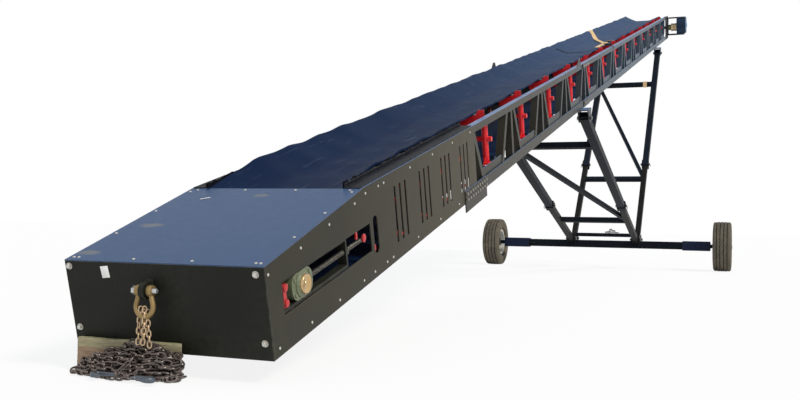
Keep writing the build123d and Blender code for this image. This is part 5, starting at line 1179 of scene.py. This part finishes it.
piece("chain_pile", repeated(pile_link, *links_along(heap_path(), pile_pitch, 23, 0.55)), chain_rust,
      hides=("chain_heap",), crease=60)


# Grab hooks: drop forged, a round eye on a flat shank that bends back on
# itself, blue-grey scale with bright rubbed edges.
HOOK_EYE, HOOK_SHANK, HOOK_BEND, HOOK_WIDE, HOOK_THICK = 0.016, 0.086, 0.020, 0.0200, 0.0210
HOOK_TIP, HOOK_RING, HOOK_RING_ROD = 0.030, 0.0115, 0.0052
LEFT_HOOK, RIGHT_HOOK = (0.010, 0.150, 0.0260), (0.006, 0.072, 0.0240)
# Knots of the chain between the hooks, from the same place as the hooks.
KNOT = ((0.030, 0.100, 0.090), (-0.006, 0.118, 0.058), (-0.016, 0.140, 0.034), (-0.006, 0.150, 0.026),
        (0.006, 0.118, 0.034), (-0.014, 0.092, 0.032), (-0.004, 0.072, 0.028), (0.020, 0.060, 0.050))


def grab_hook():
    """A hook lying flat: its line runs from the eye along X and round a half circle, and its round-cornered
    section swells in the bend and tapers at the tip."""
    run = np.linspace(0.010, HOOK_SHANK, 12)
    turn = np.linspace(0, np.pi, 18)[1:]
    tip = np.linspace(HOOK_SHANK, HOOK_SHANK - HOOK_TIP, 7)[1:]
    line = np.concatenate([np.stack([run, 0 * run], -1),
                           np.stack([HOOK_SHANK + HOOK_BEND * np.sin(turn),
                                     HOOK_BEND - HOOK_BEND * np.cos(turn)], -1),
                           np.stack([tip, 2 * HOOK_BEND + 0 * tip], -1)])
    share = np.linspace(0, 1, len(line))
    size = 0.82 + 0.35 * np.exp(-((share - 0.62) / 0.2) ** 2) - 0.35 * np.clip(share - 0.85, 0, 1) / 0.15
    angle = round_angles(16)
    section = 0.5 * np.stack([HOOK_WIDE * np.sign(np.cos(angle)) * np.abs(np.cos(angle)) ** 0.6,
                              HOOK_THICK * np.sign(np.sin(angle)) * np.abs(np.sin(angle)) ** 0.6], -1)
    body = swept(np.concatenate([line, np.zeros((len(line), 1))], 1), section * size[:, None, None])
    ring = np.pad(round_section(HOOK_RING, 24), ((0, 0), (0, 1)))
    return joined(body, swept(ring, round_section(HOOK_RING_ROD, 10), closed=True))


hook_blue = coated("hook_blue", (0.105, 0.125, 0.150), 0.42, dust=(0.16, 0.13, 0.10), dust_amount=0.7,
                   metallic=0.6, grain=70.0, bump=0.3, edge=(0.5, 0.5, 0.5))
hooks_low, hooks_high = corners_of("grab_hooks")
hooks_at = np.array([hooks_high[0] - HOOK_EYE - 0.004, hooks_low[1], 0.0])
hook_points, hook_faces = grab_hook()
left_hook = moved((hook_points, hook_faces), hooks_at + LEFT_HOOK, turned_flat(0, 1))
right_hook = moved((hook_points * (1, -1, 1), hook_faces), hooks_at + RIGHT_HOOK, turned_flat(0, -1))
piece("hook_pair", joined(left_hook, right_hook), hook_blue, hides=("grab_hooks",),
      crease=50)
knot = rounded_line(hooks_at + KNOT, 60, 2)
piece("hook_chain", repeated(strand_link, *links_along(knot, strand_pitch, 31, 0.3)), chain_rust,
      crease=60)


# Timber block: rough-sawn hardwood, its right end sawn askew, its edges chipped
# and its top greened by damp. The tail plate bites into a rebate along it.
END_SKEW, PLATE_BITE, BITE_GAP = 0.78, 0.054, 0.001
CHIP_DEPTH, CHIP_REACH, SAW_MARKS = 0.0028, 0.006, 0.0006


def timber_block():
    """The CAD outline in (x, z), rounded a little, carried along y; each point is pushed in by a few waves so
    that faces are uneven and edges chipped."""
    low, high = corners_of("tail_timber")
    front, back, top = low[0], high[0], high[2]
    rebate, rebate_z = TAIL_X - PLATE_BITE * math.tan(CONVEYOR_RISE), TAIL_Z - BITE_GAP
    corners = np.array([(front, 0.0), (front, top), (rebate, top), (TAIL_X - BITE_GAP, rebate_z),
                        (back, rebate_z), (back, 0.0)])
    outline = []
    for start, end in zip(corners, np.roll(corners, -1, 0)):
        steps = 4 * max(1, int(np.linalg.norm(end - start) / 0.024))
        outline.append(start + (end - start) * (np.arange(steps) / steps)[:, None])
    outline = np.concatenate(outline)
    near = np.min(np.linalg.norm(outline[:, None] - corners[None], axis=2), axis=1)
    centre = outline.mean(0)
    inward = (centre - outline) / np.linalg.norm(centre - outline, axis=1, keepdims=True)
    rows = 130
    y = np.linspace(low[1], high[1], rows)[:, None]
    u = np.cumsum(np.linalg.norm(np.diff(outline, axis=0, prepend=outline[-1:]), axis=1))[None]
    ragged_edge = 1 + 0.8 * np.sin(41 * y + 3 * u) * np.sin(97 * y)
    chip = CHIP_DEPTH * np.clip(1 - near / CHIP_REACH, 0, 1) * ragged_edge
    wave = SAW_MARKS * (1.2 + np.sin(23 * y + 40 * u) + 0.7 * np.sin(260 * u + 2.0 * np.sin(9 * y)))
    depth = (chip + wave) * (outline[None, :, 1] > 0.004)
    x, z = (outline[None, :, k] + inward[None, :, k] * depth for k in (0, 1))
    askew = END_SKEW * (x - front) * np.clip((high[1] - y) / (high[1] - low[1]), 0, 1)
    points = np.stack([x, y + askew, z], -1).reshape(-1, 3)
    count = outline.shape[0]
    hubs = np.array([[centre[0], low[1] + END_SKEW * (centre[0] - front), centre[1]],
                     [centre[0], high[1], centre[1]]])
    ring = np.arange(0, count, 2)
    fans = []
    for k, first in enumerate((0, (rows - 1) * count)):
        fans.append(np.stack([np.full(len(ring), len(points) + k), first + ring, first + (ring + 1) % count,
                              first + (ring + 2) % count], -1))
    return np.concatenate([points, hubs]), np.concatenate([strip_faces(rows, count)] + fans)


timber_wood = coated("timber_wood", (0.44, 0.33, 0.245), 0.80, dust=(0.33, 0.27, 0.18), dust_amount=0.7,
                     top=(0.36, 0.36, 0.21), top_amount=0.85, specular=0.10, edge=(0.55, 0.50, 0.36),
                     bump=0.3)
along_frame(timber_wood, "Coat", (0.40, 0.27, 0.18), (0.42, 0.37, 0.23), 0.002, 0.014, (0.0, 0.0, 1.0))
sawn = timber_wood.node_tree
stretched = node(sawn, "Mapping", {"Vector": node(sawn, "TexCoord").outputs["Object"],
                                   "Scale": (26.0, 1.6, 26.0)})
fibre = node(sawn, "TexNoise", {"Vector": stretched.outputs[0], "Scale": 9.0, "Detail": 8.0,
                                "Roughness": 0.65})
lines = ramp(sawn, fibre.outputs[0], 0.32, 0.66, 0.55, 1.15)
wood = sawn.nodes["Principled BSDF"].inputs["Base Color"]
sawn.links.new(mixed(sawn, 1.0, wood.links[0].from_socket, lines, blend_type="MULTIPLY"), wood)
piece("timber_block", timber_block(), timber_wood, hides=("tail_timber",), crease=35)
